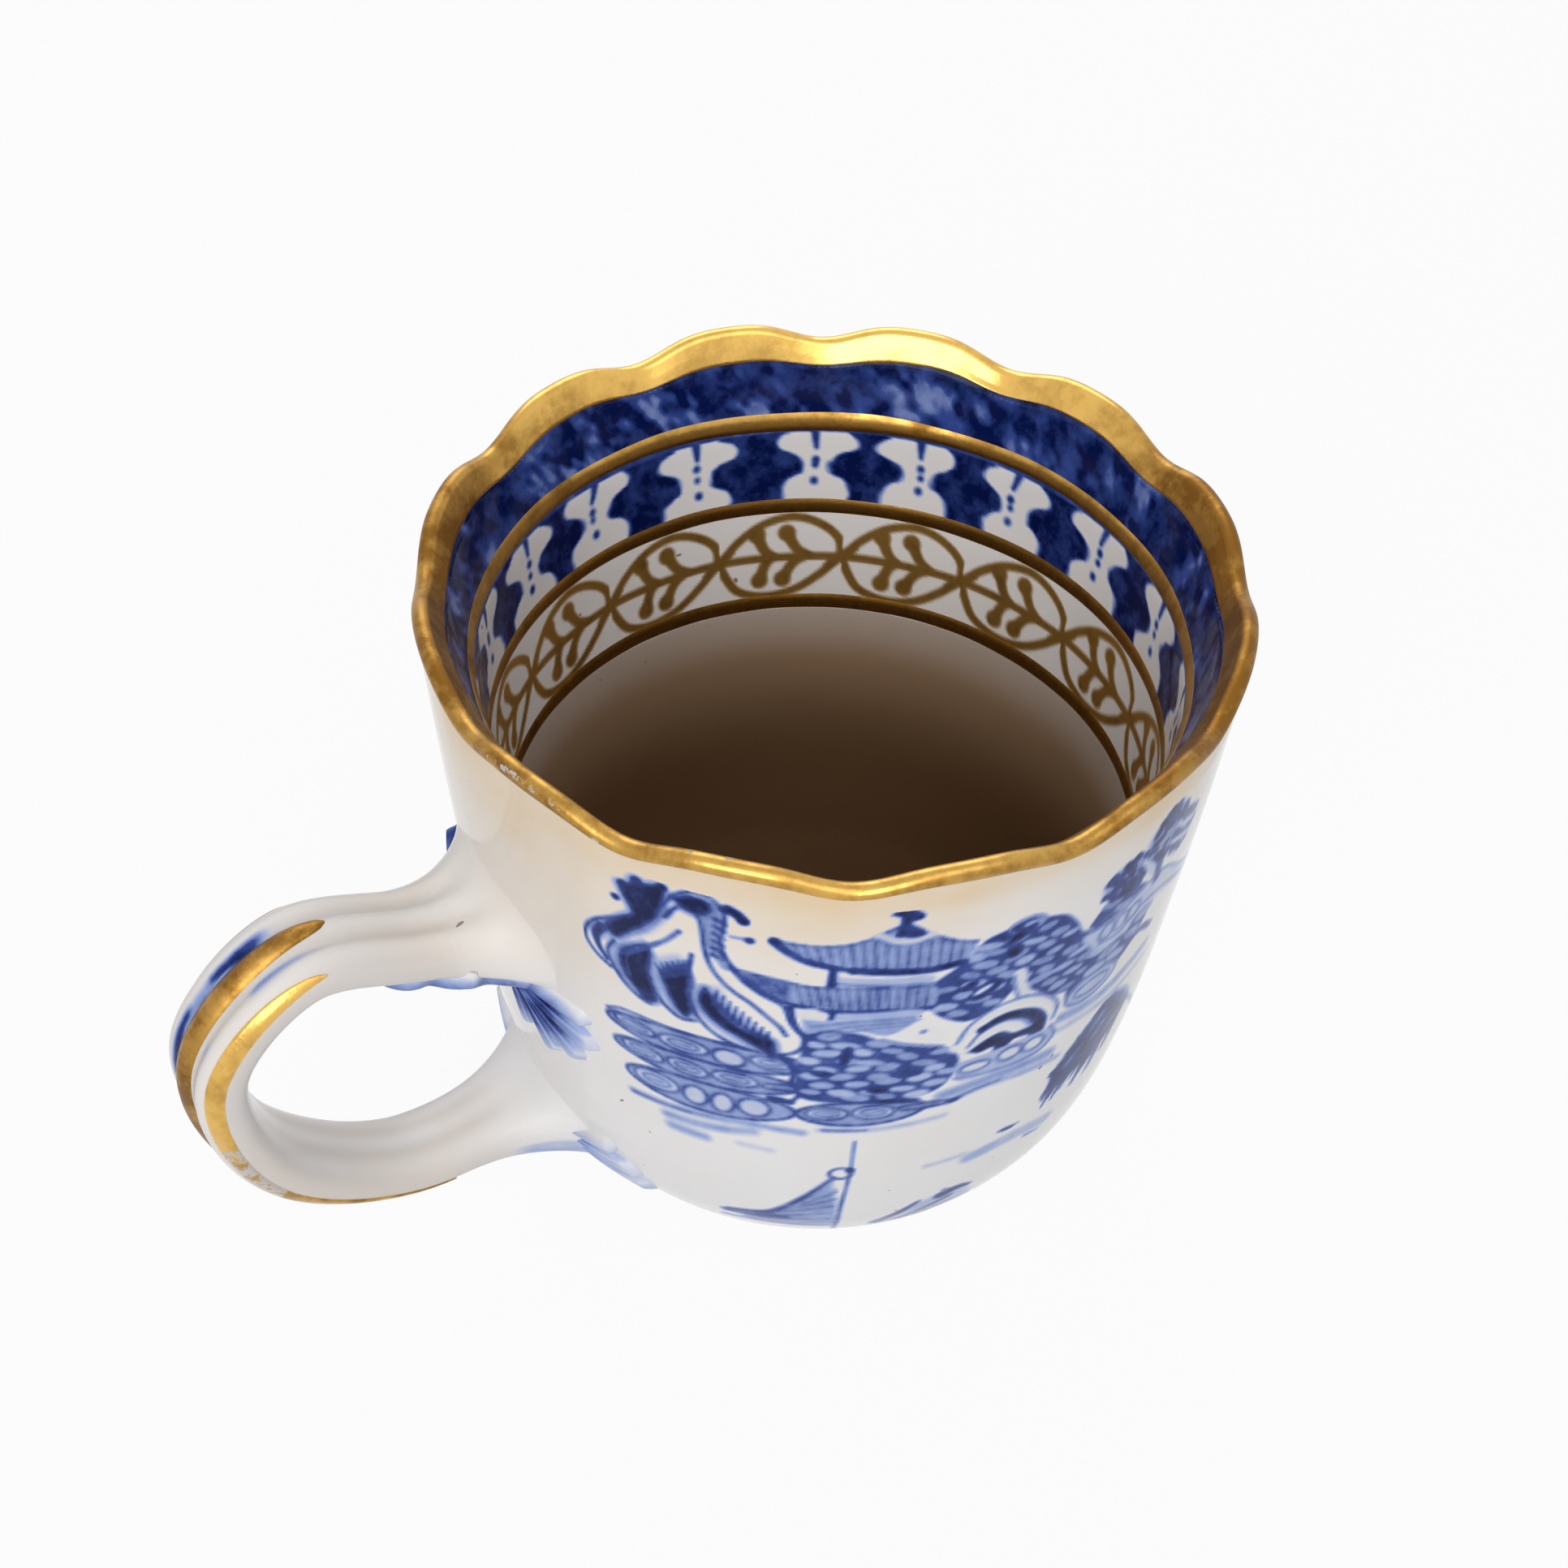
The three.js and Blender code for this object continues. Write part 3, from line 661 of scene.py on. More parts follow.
def draw_pagoda(canvas):
    """Pavilion with two tiled roofs and a finial."""
    top = [(-3.1, 61.8), (-1.5, 61.5), (0.8, 61.4), (2.8, 61.7), (4.4, 62.4), (5.8, 63.4), (6.8, 64.0),
           (7.8, 63.9), (9.0, 62.8), (10.6, 61.6), (12.1, 60.7), (13.4, 60.3)]
    bottom = [(-3.1, 61.5), (-1.9, 60.2), (-0.4, 59.2), (1.4, 58.6), (3.4, 58.1), (6.4, 57.7), (9.8, 57.4),
              (12.6, 57.7), (13.4, 59.4)]
    canvas.fill([*top, *bottom[::-1]], 0.38)
    tiles(canvas, top, bottom, np.arange(-1.6, 13.0, 0.92), 0.64)
    canvas.stroke(top, 0.40, 0.62)
    canvas.stroke(bottom[:5], (0.95, 0.6), 0.82)
    canvas.stroke(bottom[4:8], (0.9, 0.8), 0.93)
    canvas.oval((-3.1, 61.7), (0.5, 0.42), 0.95, -40)
    canvas.stroke([(5.2, 62.9), (6.4, 62.1), (8.0, 61.9), (9.4, 62.4)], 1.0, 0.16)
    canvas.stroke([(5.1, 62.4), (6.3, 61.5), (8.0, 61.3), (9.6, 61.9)], 0.30, 0.55)
    canvas.fill([(6.5, 62.8), (7.0, 63.8), (7.6, 63.9), (8.9, 62.7), (8.0, 62.4)], 0.95)
    canvas.stroke([(7.2, 64.9), (7.2, 63.6)], (0.9, 0.8), 0.93)
    canvas.fill([(5.9, 65.7), (6.7, 66.3), (7.9, 66.1), (8.6, 65.3), (8.4, 64.8), (7.5, 64.7), (6.7, 65.3)],
                0.97)
    canvas.fill([(2.2, 57.3), (6.0, 56.9), (10.2, 56.5), (10.2, 55.7), (6.0, 55.9), (2.2, 56.3)], 0.24)
    canvas.stroke([(2.2, 56.2), (6.0, 55.8), (10.2, 55.4)], 0.32, 0.6)
    canvas.stroke([(1.7, 58.4), (1.7, 57.3), (1.65, 55.9)], (0.6, 0.8), 0.90)
    eaves_top = [(-6.4, 56.9), (-4.0, 56.5), (-2.0, 56.1), (-0.4, 55.7), (1.6, 55.6), (5.8, 55.5),
                 (10.4, 55.0)]
    eaves = [(-6.2, 56.4), (-4.9, 54.9), (-3.2, 53.6), (-1.0, 52.7), (2.0, 52.1), (6.0, 52.0), (10.4, 51.7)]
    canvas.fill([*eaves_top, *eaves[::-1]], 0.40)
    canvas.fill([(-6.2, 56.7), (-3.6, 56.4), (-1.9, 56.0), (-2.1, 53.2), (-3.6, 53.9), (-5.2, 55.3)],
                0.62, 0.6)
    tiles(canvas, eaves_top, eaves, np.arange(-1.2, 10.0, 0.84), 0.64)
    canvas.stroke(eaves_top, 0.34, 0.66)
    canvas.stroke(eaves, (0.5, 0.55), 0.78)
    canvas.fill([(1.9, 51.9), (9.6, 51.6), (9.6, 50.8), (1.9, 51.0)], 0.26)
    canvas.stroke([(1.9, 52.0), (1.8, 51.0)], 0.55, 0.85)
    canvas.fill([(-1.0, 52.3), (0.4, 52.5), (1.6, 51.5), (0.8, 50.8), (-0.8, 51.0)], 0.10)
    canvas.stroke([(-1.7, 52.3), (-1.5, 50.6), (-1.0, 49.3), (-0.4, 48.3)], (0.75, 0.5), 0.93)
    canvas.fill([(-0.6, 50.8), (4.0, 50.7), (9.4, 50.5), (9.8, 49.8), (6.8, 48.2), (4.6, 49.0), (2.0, 49.6),
                 (-0.2, 48.6)], 0.34, 0.5)
    for drop in (0.0, 0.8, 1.5):
        canvas.stroke([(0.2 + drop, 49.8 - drop), (4.0, 50.6 - 0.9 * drop), (9.0, 50.6 - 0.7 * drop)],
                      0.26, 0.52)
    canvas.fill([(7.0, 47.8), (9.8, 50.0), (11.2, 48.6), (12.5, 47.0), (11.9, 45.8), (9.8, 46.6)], 0.05)
    canvas.stroke([(6.4, 47.6), (8.4, 46.6), (10.4, 45.8), (12.0, 45.2)], 0.30, 0.55)
    canvas.oval((10.0, 48.1), (0.32, 0.28), 0.55)


def draw_thickets(canvas):
    """Trees and banks of pale oval leaves on dark ground."""
    canvas.scales([(10.2, 55.4), (10.4, 51.4), (12.0, 49.4), (14.2, 48.3), (16.6, 49.3), (18.2, 51.2),
                   (20.4, 49.6), (22.6, 47.4), (25.4, 46.8), (26.8, 49.2), (27.2, 52.4), (26.0, 54.6),
                   (24.4, 55.6), (23.5, 57.4), (21.9, 59.6), (19.8, 60.6), (18.0, 61.5), (16.2, 60.8),
                   (14.3, 60.1), (13.2, 58.4), (12.0, 57.0)], seed=4, ground=0.76)
    canvas.scales([(25.0, 55.6), (26.6, 57.6), (29.6, 57.6), (32.6, 55.8), (34.4, 52.4), (33.6, 48.0),
                   (31.0, 45.0), (28.0, 43.4), (25.2, 44.0), (24.4, 46.6), (26.6, 49.4),
                   (26.8, 53.0)], seed=14, size=(1.35, 0.72), ground=0.66, light=0.30)
    canvas.oval((17.9, 60.6), (1.6, 1.0), 0.45, 0, 0.4)
    for dark in (((15.2, 52.6), (1.6, 0.9)), ((17.6, 59.4), (1.6, 0.6)), ((13.6, 53.8), (0.8, 0.5)),
                 ((17.2, 57.2), (0.8, 0.8))):
        canvas.oval(*dark, 0.92, 35)
    canvas.oval((14.9, 52.7), (1.0, 0.36), 0.10, 32)
    canvas.stroke([(18.3, 53.4), (18.6, 51.8), (19.3, 49.8), (19.4, 48.6)], (1.5, 1.0), 0.12, 0.5)
    canvas.stroke([(17.7, 53.2), (18.2, 51.0), (18.8, 49.2)], 0.3, 0.6)
    canvas.scales([(-0.4, 48.6), (1.8, 49.4), (4.6, 48.6), (7.0, 47.0), (9.5, 45.9), (12.4, 44.8),
                   (13.9, 42.4), (13.6, 39.8), (12.2, 37.8), (8.0, 37.2), (3.0, 37.4), (-0.4, 38.2),
                   (-1.0, 41.0), (-0.6, 44.8)], seed=9, ground=0.70, light=0.28)
    for dark in (((1.4, 42.3), (1.0, 0.5)), ((9.0, 41.6), (1.5, 0.7)), ((6.5, 39.4), (0.9, 0.6)),
                 ((8.8, 37.0), (2.0, 0.4)), ((3.4, 45.2), (0.5, 1.5))):
        canvas.oval(*dark, 0.86, -8)
    for line in ([(13.4, 44.2), (14.4, 46.8), (16.8, 48.5), (19.8, 48.4), (22.3, 46.8), (23.7, 44.4),
                  (23.6, 42.4)], [(14.6, 43.2), (15.6, 44.9), (17.8, 45.7), (19.8, 44.8), (20.8, 43.4)]):
        canvas.stroke(line, 1.3, 0.08, 0.4)
        canvas.stroke([(x, y + 0.75) for x, y in line], 0.34, 0.6)
    canvas.stroke([(15.6, 46.2), (17.4, 47.1), (19.4, 46.7), (21.2, 45.3), (22.0, 43.6), (21.9, 41.9)],
                  (0.9, 1.7), 0.96, 0.5)
    canvas.fill([(14.8, 43.0), (16.4, 44.3), (17.8, 44.7), (19.2, 43.7), (21.6, 43.4), (21.8, 42.2),
                 (19.4, 42.6), (18.4, 41.2), (17.4, 41.2), (17.3, 42.6), (15.8, 42.4)], 0.95, 0.5)
    canvas.fill([(13.8, 41.6), (16.0, 41.8), (20.0, 42.0), (23.8, 41.4), (24.4, 39.4), (22.8, 37.9),
                 (18.0, 38.2), (14.2, 38.4)], 0.26, 0.5)
    for oval in (((15.8, 40.1), (1.5, 0.75)), ((19.4, 40.3), (1.3, 1.0)), ((22.0, 40.1), (1.2, 1.0))):
        canvas.oval(*oval, 0.12)
        canvas.oval(*oval, 0.62, 0, 0.36)
    canvas.stroke([(14.0, 39.0), (17.0, 38.4), (21.0, 38.0), (23.4, 38.4), (24.4, 40.0), (23.6, 41.8)],
                  0.4, 0.5)


def draw_banks(canvas):
    """Layered banks of rounded stones by the water."""
    rng = np.random.default_rng(27)
    tiers = [(-18.9, 0.6, 43.2, 2.0), (-18.4, -0.6, 39.6, 1.9), (-17.4, -0.8, 35.4, 2.4),
             (-0.6, 11.4, 35.4, 2.0)]
    for left, right, middle, half in tiers:
        centre, reach = (left + right) / 2, (right - left) / 2
        canvas.oval((centre, middle), (reach, half), 0.38, soft=0.8)
        canvas.oval((centre, middle), (reach, half), 0.72, 0, 0.46)
        x = left + 0.8
        while x < right - 2.2:
            wide = rng.uniform(1.1, 2.5)
            at = (x + wide, middle + rng.normal(0, 0.12))
            high = half * rng.uniform(0.58, 0.76) * math.sqrt(max(0.15, 1 - ((at[0] - centre) / reach) ** 2))
            lean = rng.normal(-3, 4)
            canvas.oval(at, (wide, high), 0.19, lean, soft=0.6)
            canvas.oval(at, (wide, high), 0.68, lean, 0.40)
            if wide > 1.7:
                canvas.oval(at, (wide * 0.58, high * 0.50), 0.62, lean, 0.34)
                canvas.stroke([(at[0] - 0.8, at[1] - 0.1), (at[0] + 0.6, at[1])], 0.40, 0.50)
            x += 2 * wide + 0.35
    canvas.stroke([(-18.8, 44.2), (-17.2, 45.1), (-12.0, 45.2), (-6.0, 45.1), (-2.0, 44.4), (-0.8, 42.6)],
                  0.42, 0.66)
    canvas.stroke([(-2.0, 44.4), (-1.0, 42.4), (-1.2, 40.6), (-0.4, 39.0), (-1.2, 37.2)], (0.6, 0.5), 0.74)
    canvas.oval((-2.2, 37.4), (1.4, 0.5), 0.75, -12)


def draw_water(canvas):
    """Thin washes and ripples below the banks."""
    washes = [
        ([(-17.0, 31.8), (-12.0, 32.0), (-5.0, 32.5), (0.0, 32.0)], 0.9, 0.26),
        ([(-13.4, 30.2), (-9.0, 30.4), (-4.8, 31.2)], 1.4, 0.20),
        ([(-13.0, 28.4), (-9.6, 28.2)], 1.5, 0.20),
        ([(-6.0, 28.6), (-3.0, 28.2)], 0.9, 0.12),
        ([(1.6, 32.6), (7.0, 32.4), (13.6, 32.8)], 0.8, 0.16),
        ([(13.0, 36.6), (18.0, 37.2), (24.6, 36.6)], 1.6, 0.22),
        ([(13.8, 35.2), (17.0, 36.0), (22.0, 35.4), (26.0, 34.8)], 0.8, 0.22),
        ([(24.4, 42.2), (30.0, 41.4), (37.0, 42.6)], 1.7, 0.20),
        ([(25.0, 40.0), (32.0, 39.4), (38.0, 40.0)], 1.2, 0.14),
        ([(18.0, 22.4), (23.0, 22.8), (28.0, 21.8)], 2.2, 0.16),
        ([(13.0, 23.4), (17.0, 23.6)], 0.8, 0.14),
    ]
    for line, width, ink in washes:
        canvas.stroke(line, width, 1.7 * ink, 1.1)
    ripples = [
        [(-17.0, 31.7), (-11.0, 31.9)],
        [(14.0, 35.1), (16.0, 35.9), (19.0, 36.1)],
        [(21.0, 25.4), (22.4, 25.2), (23.4, 25.2)],
        [(16.2, 16.4), (17.0, 16.0), (17.8, 15.6)],
        [(2.0, 32.6), (6.0, 32.4)],
        [(25.4, 20.8), (27.6, 20.2)],
    ]
    for line in ripples:
        canvas.stroke(line, (0.5, 0.3), 0.56, 0.5)
    canvas.oval((14.2, 35.2), (0.7, 0.35), 0.70)
    canvas.oval((22.0, 25.2), (0.9, 0.35), 0.80, -10)


def draw_far_trees(canvas):
    """Dotted trees on a curving headland at the right."""
    rng = np.random.default_rng(21)
    canvas.fill([(24.6, 54.4), (28.0, 54.6), (33.0, 56.0), (36.0, 54.8), (40.0, 51.6), (44.0, 48.6),
                 (43.6, 47.4), (38.0, 50.2), (33.0, 51.6), (29.6, 50.0), (26.6, 51.0)], 0.20, 0.8)
    for line in ([(25.4, 54.6), (28.6, 54.4), (32.0, 55.6), (35.0, 55.6), (39.0, 52.4), (44.0, 48.8)],
                 [(27.2, 51.6), (29.8, 51.2), (32.4, 52.6), (35.4, 52.4), (39.6, 50.2),
                  (44.4, 47.2)], [(28.6, 49.0), (30.4, 50.0), (31.8, 49.0), (32.6, 48.2), (34.6, 48.0),
                                  (36.2, 46.6)]):
        canvas.stroke(line, 0.42, 0.52)
    canvas.stroke([(32.2, 47.2), (34.2, 47.6), (36.2, 46.4)], (0.7, 1.0), 0.72, 0.6)
    for half, ink in (((3.4, 2.2), 0.24), ((3.2, 2.0), 0.56), ((2.2, 1.0), 0.56)):
        canvas.oval((28.0, 44.8), half, ink, 0, None if ink < 0.5 else 0.42)
    for x in (27.8, 29.6, 31.2):
        canvas.oval((x, 53.0), (0.9, 1.1), 0.52, -15, 0.4)
    canvas.stroke([(33.8, 59.6), (33.6, 57.4), (33.9, 55.2)], (1.6, 1.1), 0.70, 0.6)
    for centre, reach, count in (((28.4, 60.0), (2.7, 2.3), 46), ((33.4, 61.8), (2.9, 3.6), 60),
                                 ((36.8, 59.4), (2.2, 3.0), 36), ((29.4, 58.0), (2.2, 0.9), 16)):
        canvas.oval(centre, reach, 0.42, soft=1.2)
        for at in strewn(rng, centre, reach, count, 0.05):
            canvas.oval(at, (0.46, 0.40), rng.uniform(0.80, 0.95), rng.uniform(0, 180), soft=0.4)
    for line in ([(30.6, 60.2), (32.0, 58.6), (32.6, 57.0)], [(35.2, 61.6), (36.6, 60.2), (38.4, 59.6)],
                 [(35.0, 59.2), (36.6, 58.4), (38.2, 57.8)]):
        canvas.stroke(line, 0.8, 0.18, 0.6)


def draw_near_pine(canvas):
    """Dark leaning pine over the water at the lower right."""
    rng = np.random.default_rng(33)
    canvas.fill([(33.2, 38.6), (30.2, 36.8), (27.8, 34.0), (26.6, 31.4), (27.4, 30.0), (30.0, 29.6),
                 (33.0, 30.0), (36.0, 31.6), (37.6, 33.4), (36.0, 36.6)], 0.86, 1.6)
    canvas.stroke([(33.4, 38.0), (36.4, 34.6), (39.6, 31.4), (41.4, 28.6)], (0.7, 0.5), 0.66, 0.6)
    for part in np.linspace(0, 1, 34):
        edge = np.array([26.6 + 10.6 * part, 31.6 + 2.0 * part - 1.5 * math.sin(math.pi * part)])
        fall = np.array([-0.9, -rng.uniform(2.0, 6.4)])
        canvas.stroke([edge, edge + 0.5 * fall + (0.3, 0), edge + fall], (1.0, 0.3), 0.84, 0.5)
    for part in np.linspace(0, 1, 20):
        edge = np.array([32.6 - 6.0 * part, 38.2 - 7.0 * part**1.1])
        out = np.array([-0.9, 0.35]) * rng.uniform(0.5, 1.2)
        canvas.stroke([edge, edge + out], (0.7, 0.3), 0.84, 0.5)
    for at in ((29.0, 32.4), (32.4, 33.6), (34.6, 32.2), (31.4, 35.6)):
        canvas.oval(at, (1.5, 0.4), 0.52, 48, soft=0.9)


def draw_boat(canvas):
    """Boat with a mast, a ring at its head and a reed sail."""
    canvas.fill([(3.4, 22.6), (4.2, 16.0), (4.2, 11.4), (-6.4, 11.6), (-3.2, 15.0), (-0.4, 18.2)], 0.38, 1.0)
    canvas.stroke([(3.4, 23.4), (0.2, 18.6), (-2.8, 15.0), (-7.6, 13.4)], (0.6, 1.0), 0.70, 0.7)
    canvas.stroke([(3.8, 21.0), (0.6, 15.4), (-2.0, 12.4)], 0.3, 0.40, 0.6)
    canvas.stroke([(5.1, 30.4), (5.0, 24.0), (4.6, 17.0), (4.4, 7.0)], (0.32, 0.55), 0.66)
    canvas.oval((4.1, 24.3), (1.15, 1.05), 0.60, 0, 0.5)
    canvas.oval((5.0, 24.9), (0.5, 0.5), 0.85)
    canvas.stroke([(-8.2, 12.9), (-5.0, 13.2), (-1.6, 13.6)], (1.0, 1.6), 0.66, 0.9)
    canvas.stroke([(-8.6, 10.8), (-4.0, 11.2), (4.0, 10.8)], 0.8, 0.52, 0.8)
    canvas.stroke([(-11.0, 7.0), (-4.0, 6.0), (4.0, 6.2), (11.0, 7.6)], (0.8, 1.2), 0.56, 0.9)
    hatch(canvas, (3.9, 20.4), (-0.1, -1.7), (-3.5, -3.0), (-1.4, 0.5), 5, 0.3, 0.56, 0.6)
    canvas.fill([(8.4, 8.0), (11.0, 12.6), (15.0, 15.4), (19.4, 14.6), (21.0, 10.6), (15.0, 8.6)], 0.26, 1.4)
    for line in ([(9.4, 10.4), (11.2, 12.4), (13.4, 15.0)], [(12.4, 9.6), (14.8, 12.0), (17.6, 13.8)],
                 [(16.2, 15.0), (18.0, 15.6), (19.6, 15.2)], [(15.0, 10.0), (18.0, 11.6), (20.6, 11.6)]):
        canvas.stroke(line, (1.7, 0.6), 0.82, 0.8)
    canvas.stroke([(10.0, 6.6), (15.0, 6.0), (22.0, 7.0)], (1.0, 0.5), 0.60, 0.8)


def draw_islet(canvas):
    """Rocky islet with a pine, beyond the headland."""
    canvas.fill([(45.0, 7.0), (47.0, 14.0), (49.6, 19.4), (53.0, 21.6), (57.0, 17.6), (61.0, 10.6),
                 (62.0, 7.0)], 0.30, 1.0)
    canvas.fill([(46.4, 7.4), (47.6, 12.0), (49.4, 16.4), (51.0, 18.6), (50.6, 14.0), (48.6, 9.0)], 0.80, 1.4)
    hatch(canvas, (48.6, 8.6), (0.3, 1.1), (2.2, 0.5), (-0.1, 0), 9, (0.6, 0.2), 0.66, 0.6)
    for line in ([(53.0, 20.6), (54.6, 15.0), (54.2, 9.0)], [(56.0, 17.8), (58.0, 13.0), (58.2, 8.6)],
                 [(45.0, 7.0), (47.0, 14.0), (49.6, 19.4), (53.0, 21.6), (57.0, 17.6), (61.0, 10.6)]):
        canvas.stroke(line, (0.5, 0.4), 0.64)
    canvas.stroke([(52.6, 21.4), (53.4, 26.0), (51.8, 31.0), (52.8, 36.0)], (1.0, 0.5), 0.78, 0.5)
    rng = np.random.default_rng(8)
    for centre, reach in (((52.6, 38.0), (3.6, 1.6)), ((49.6, 32.6), (2.8, 1.3)),
                          ((55.8, 33.8), (3.0, 1.4)), ((50.4, 44.6), (1.6, 2.4))):
        canvas.oval(centre, reach, 0.46, soft=1.0)
        for at in strewn(rng, centre, reach, 34, 0.1):
            canvas.stroke([at, at + (0.2, 0.9)], (0.34, 0.16), 0.86)
    for line in ([(44.0, 24.6), (48.0, 24.2), (50.0, 24.6)], [(56.0, 26.0), (60.0, 25.6), (63.0, 26.2)],
                 [(56.0, 48.0), (60.0, 48.6), (64.0, 47.8)]):
        canvas.stroke(line, 0.5, 0.30, 0.8)


LANDSCAPE = (draw_water, draw_banks, draw_thickets, draw_pagoda, draw_crag, draw_far_trees, draw_near_pine,
             draw_boat, draw_islet)


def cream_at(angle, height):
    """Warm tint of the wall under the rim, most of it beside the handle: partly the glaze's own ivory, partly
    a painted reflection of the gold just under the lip and painted warm shade beside the handle.
    """
    beside = smoothstep(np.cos(np.radians(angle - 188)), 0.25, 0.95)
    under_rim = smoothstep(height, 57, 69) * (0.5 + 0.5 * beside)
    under_rim = under_rim + (1 - under_rim) * 0.85 * smoothstep(height, 64.6, 67.6)
    return under_rim + 0.40 * beside * smoothstep(height, 30, 64) * (1 - under_rim)


def paint_cream(piece):
    angle, _, height = cup_points(piece)
    paint(piece, "cream", cream_at(angle, height))


def paint_landscape(piece, zero):
    """Paints the landscape on a skin, from the angle that is the middle of the picture."""
    angle, _, height = cup_points(piece)
    across = np.radians((angle - zero + 180) % 360 - 180) * PRINT_RADIUS
    canvas = Canvas(across, height)
    for draw in LANDSCAPE:
        draw(canvas)
    paint(piece, "cobalt", canvas.ink)
    paint_cream(piece)


def paint_border(piece, form, sizes):
    """Paints the mottled band, the pendants and the gilt chain inside the mouth."""
    angle, _, height = cup_points(piece)
    drop = form.height - height
    run = np.radians(angle) * BORDER_RADIUS
    turn = angle / 360

    sway = turn + 0.002 * drop
    mottle = 0.6 * blotches(sway * 120, drop / 2.3, 5, 120) + 0.4 * blotches(sway * 260, drop / 1.0, 6, 260)
    cloud = blotches(turn * 32, drop / 4.6, 7, 32)
    pale = smoothstep(mottle, 0.36, 0.74) * (0.35 + 0.65 * smoothstep(cloud, 0.25, 0.7))
    cobalt = (drop < BAND_END) * (0.97 - 0.46 * pale)

    canvas = Canvas(run, drop)
    canvas.ink = np.where((drop > BAND_END) & (drop < PENDANT_END), 0.93, cobalt)
    cell = 360 / sizes.pendants
    rng = np.random.default_rng(12)
    urn = smooth_curve([(8.8, 1.6), (9.7, 3.8), (10.5, 4.4), (11.3, 4.1), (11.9, 3.0), (12.6, 2.0),
                        (13.5, 1.6), (14.4, 1.8), (15.0, 2.8), (15.7, 3.6), (16.8, 3.9), (18.4, 3.6)], 6)
    for number in range(sizes.pendants):
        middle = PENDANT_TURN + cell * number + rng.normal(0, 1.0)
        beside = np.radians((angle - middle + 180) % 360 - 180) * BORDER_RADIUS
        away = np.abs(beside)
        size = np.where(beside > 0, rng.uniform(0.86, 1.08), rng.uniform(0.86, 1.08))
        edge = away - size * np.interp(drop + rng.normal(0, 0.2), *urn.T) + 0.9 * (mottle - 0.5)
        white = np.clip(0.5 - edge / 0.8, 0, 1) * (drop > BAND_END + 1.1) * (drop < PENDANT_END)
        canvas.ink += white * (0.02 - canvas.ink)
        near = np.flatnonzero(away < 4)
        spot = Canvas(beside[near], drop[near])
        lean = rng.normal(0, 0.25)
        spot.stroke([(0, 9.4), (lean / 2, 10.4), (lean, 11.2)], (0.9, 0.5), 0.90, 0.5)
        for low, wide in ((12.4, 0.42), (13.5, 0.36), (15.4, 0.44)):
            spot.oval((lean + rng.normal(0, 0.12), low + rng.normal(0, 0.2)), (wide, wide * 1.15), 0.88,
                      soft=0.5)
        canvas.ink[near] += spot.ink * (0.9 - canvas.ink[near])
    hem = (drop > BAND_END) & (drop < BAND_END + 1.2)
    canvas.ink = np.where(hem, np.minimum(canvas.ink, 0.55 + 0.3 * mottle), canvas.ink)
    paint(piece, "cobalt", canvas.ink * (drop < PENDANT_END + 0.2))
    # Painted shade: the inside turns slightly tan deeper in the mouth.
    paint(piece, "painted_shade", 0.06 * smoothstep(drop, 14, 34))

    link = 360 / sizes.chain_links
    part = ((angle - CHAIN_TURN) % link) / link
    wide = math.radians(link) * CHAIN_RADIUS
    chain = Canvas(part * wide, drop)
    middle = CHAIN_MIDDLE
    upper = [(0, 0.2), (0.05 - 0.4 / wide, -2.2), (0.16, -4.0), (0.38, -CHAIN_RISE), (0.62, -4.3),
             (0.83, -2.4), (1, 0.2)]
    lower = [(0, -0.2), (0.17, 2.4), (0.38, 4.4), (0.62, CHAIN_RISE), (0.84, 4.0), (0.94, 2.0), (1, -0.2)]
    ties = [[(-0.1, -3.2), (0, 0), (0.1, 1.2)], [(0.9, -1.2), (1, 0), (1.1, 3.2)]]
    stem = [(0, 0), (0.5, 0.1), (1, 0)]
    for line in (upper, lower, *ties, stem):
        chain.stroke([(share * wide, middle + fall) for share, fall in line], 1.0, 1.0, 0.34)
    for base, tip, side in ((0.54, 0.68, -1), (0.25, 0.44, -1), (0.55, 0.66, 1), (0.28, 0.47, 1)):
        bend = ((0.45 * base + 0.55 * tip) * wide, middle + side * 0.9)
        bulb = (tip * wide, middle + side * (3.0 if side < 0 else 2.9))
        chain.stroke([(base * wide, middle), bend, bulb], (1.0, 1.3), 1.0, 0.36)
        chain.oval(bulb, (0.95, 1.05), 1.0, 0, soft=0.4)
    paint(piece, "gilt", chain.ink * (drop > CHAIN_START) * (drop < CHAIN_END))


# Materials

GLAZE_SHINE = 0.08
BORDER_SHINE = 0.12
GOLD_SHINE = 0.2
GREY_GLAZE = (0.80, 0.77, 0.74)
SPECK = (0.16, 0.12, 0.10)
DARK_BISCUIT = (0.52, 0.45, 0.37)


def add_node(tree, kind, links=None, **settings):
    """A node with its settings, and its sockets set to values or linked to other sockets."""
    node = tree.nodes.new(kind)
    for name, value in settings.items():
        setattr(node, name, value)
    for name, source in (links or {}).items():
        if isinstance(source, bpy.types.NodeSocket):
            tree.links.new(source, node.inputs[name])
        else:
            node.inputs[name].default_value = source
    return node


def new_material(name):
    material = bpy.data.materials.new(name)
    material.use_nodes = True
    material.node_tree.nodes.clear()
    return material, material.node_tree


def noise(tree, scale, detail=3.0, rough=0.55):
    place = add_node(tree, "ShaderNodeTexCoord").outputs["Object"]
    links = {"Vector": place, "Scale": scale, "Detail": detail, "Roughness": rough}
    return add_node(tree, "ShaderNodeTexNoise", links).outputs["Fac"]


def ranged(tree, value, low, high, start=0.0, end=1.0):
    links = {"Value": value, "From Min": low, "From Max": high, "To Min": start, "To Max": end}
    return add_node(tree, "ShaderNodeMapRange", links, interpolation_type="SMOOTHSTEP").outputs["Result"]


def maths(tree, operation, a, b):
    return add_node(tree, "ShaderNodeMath", {0: a, 1: b}, operation=operation, use_clamp=True).outputs[0]


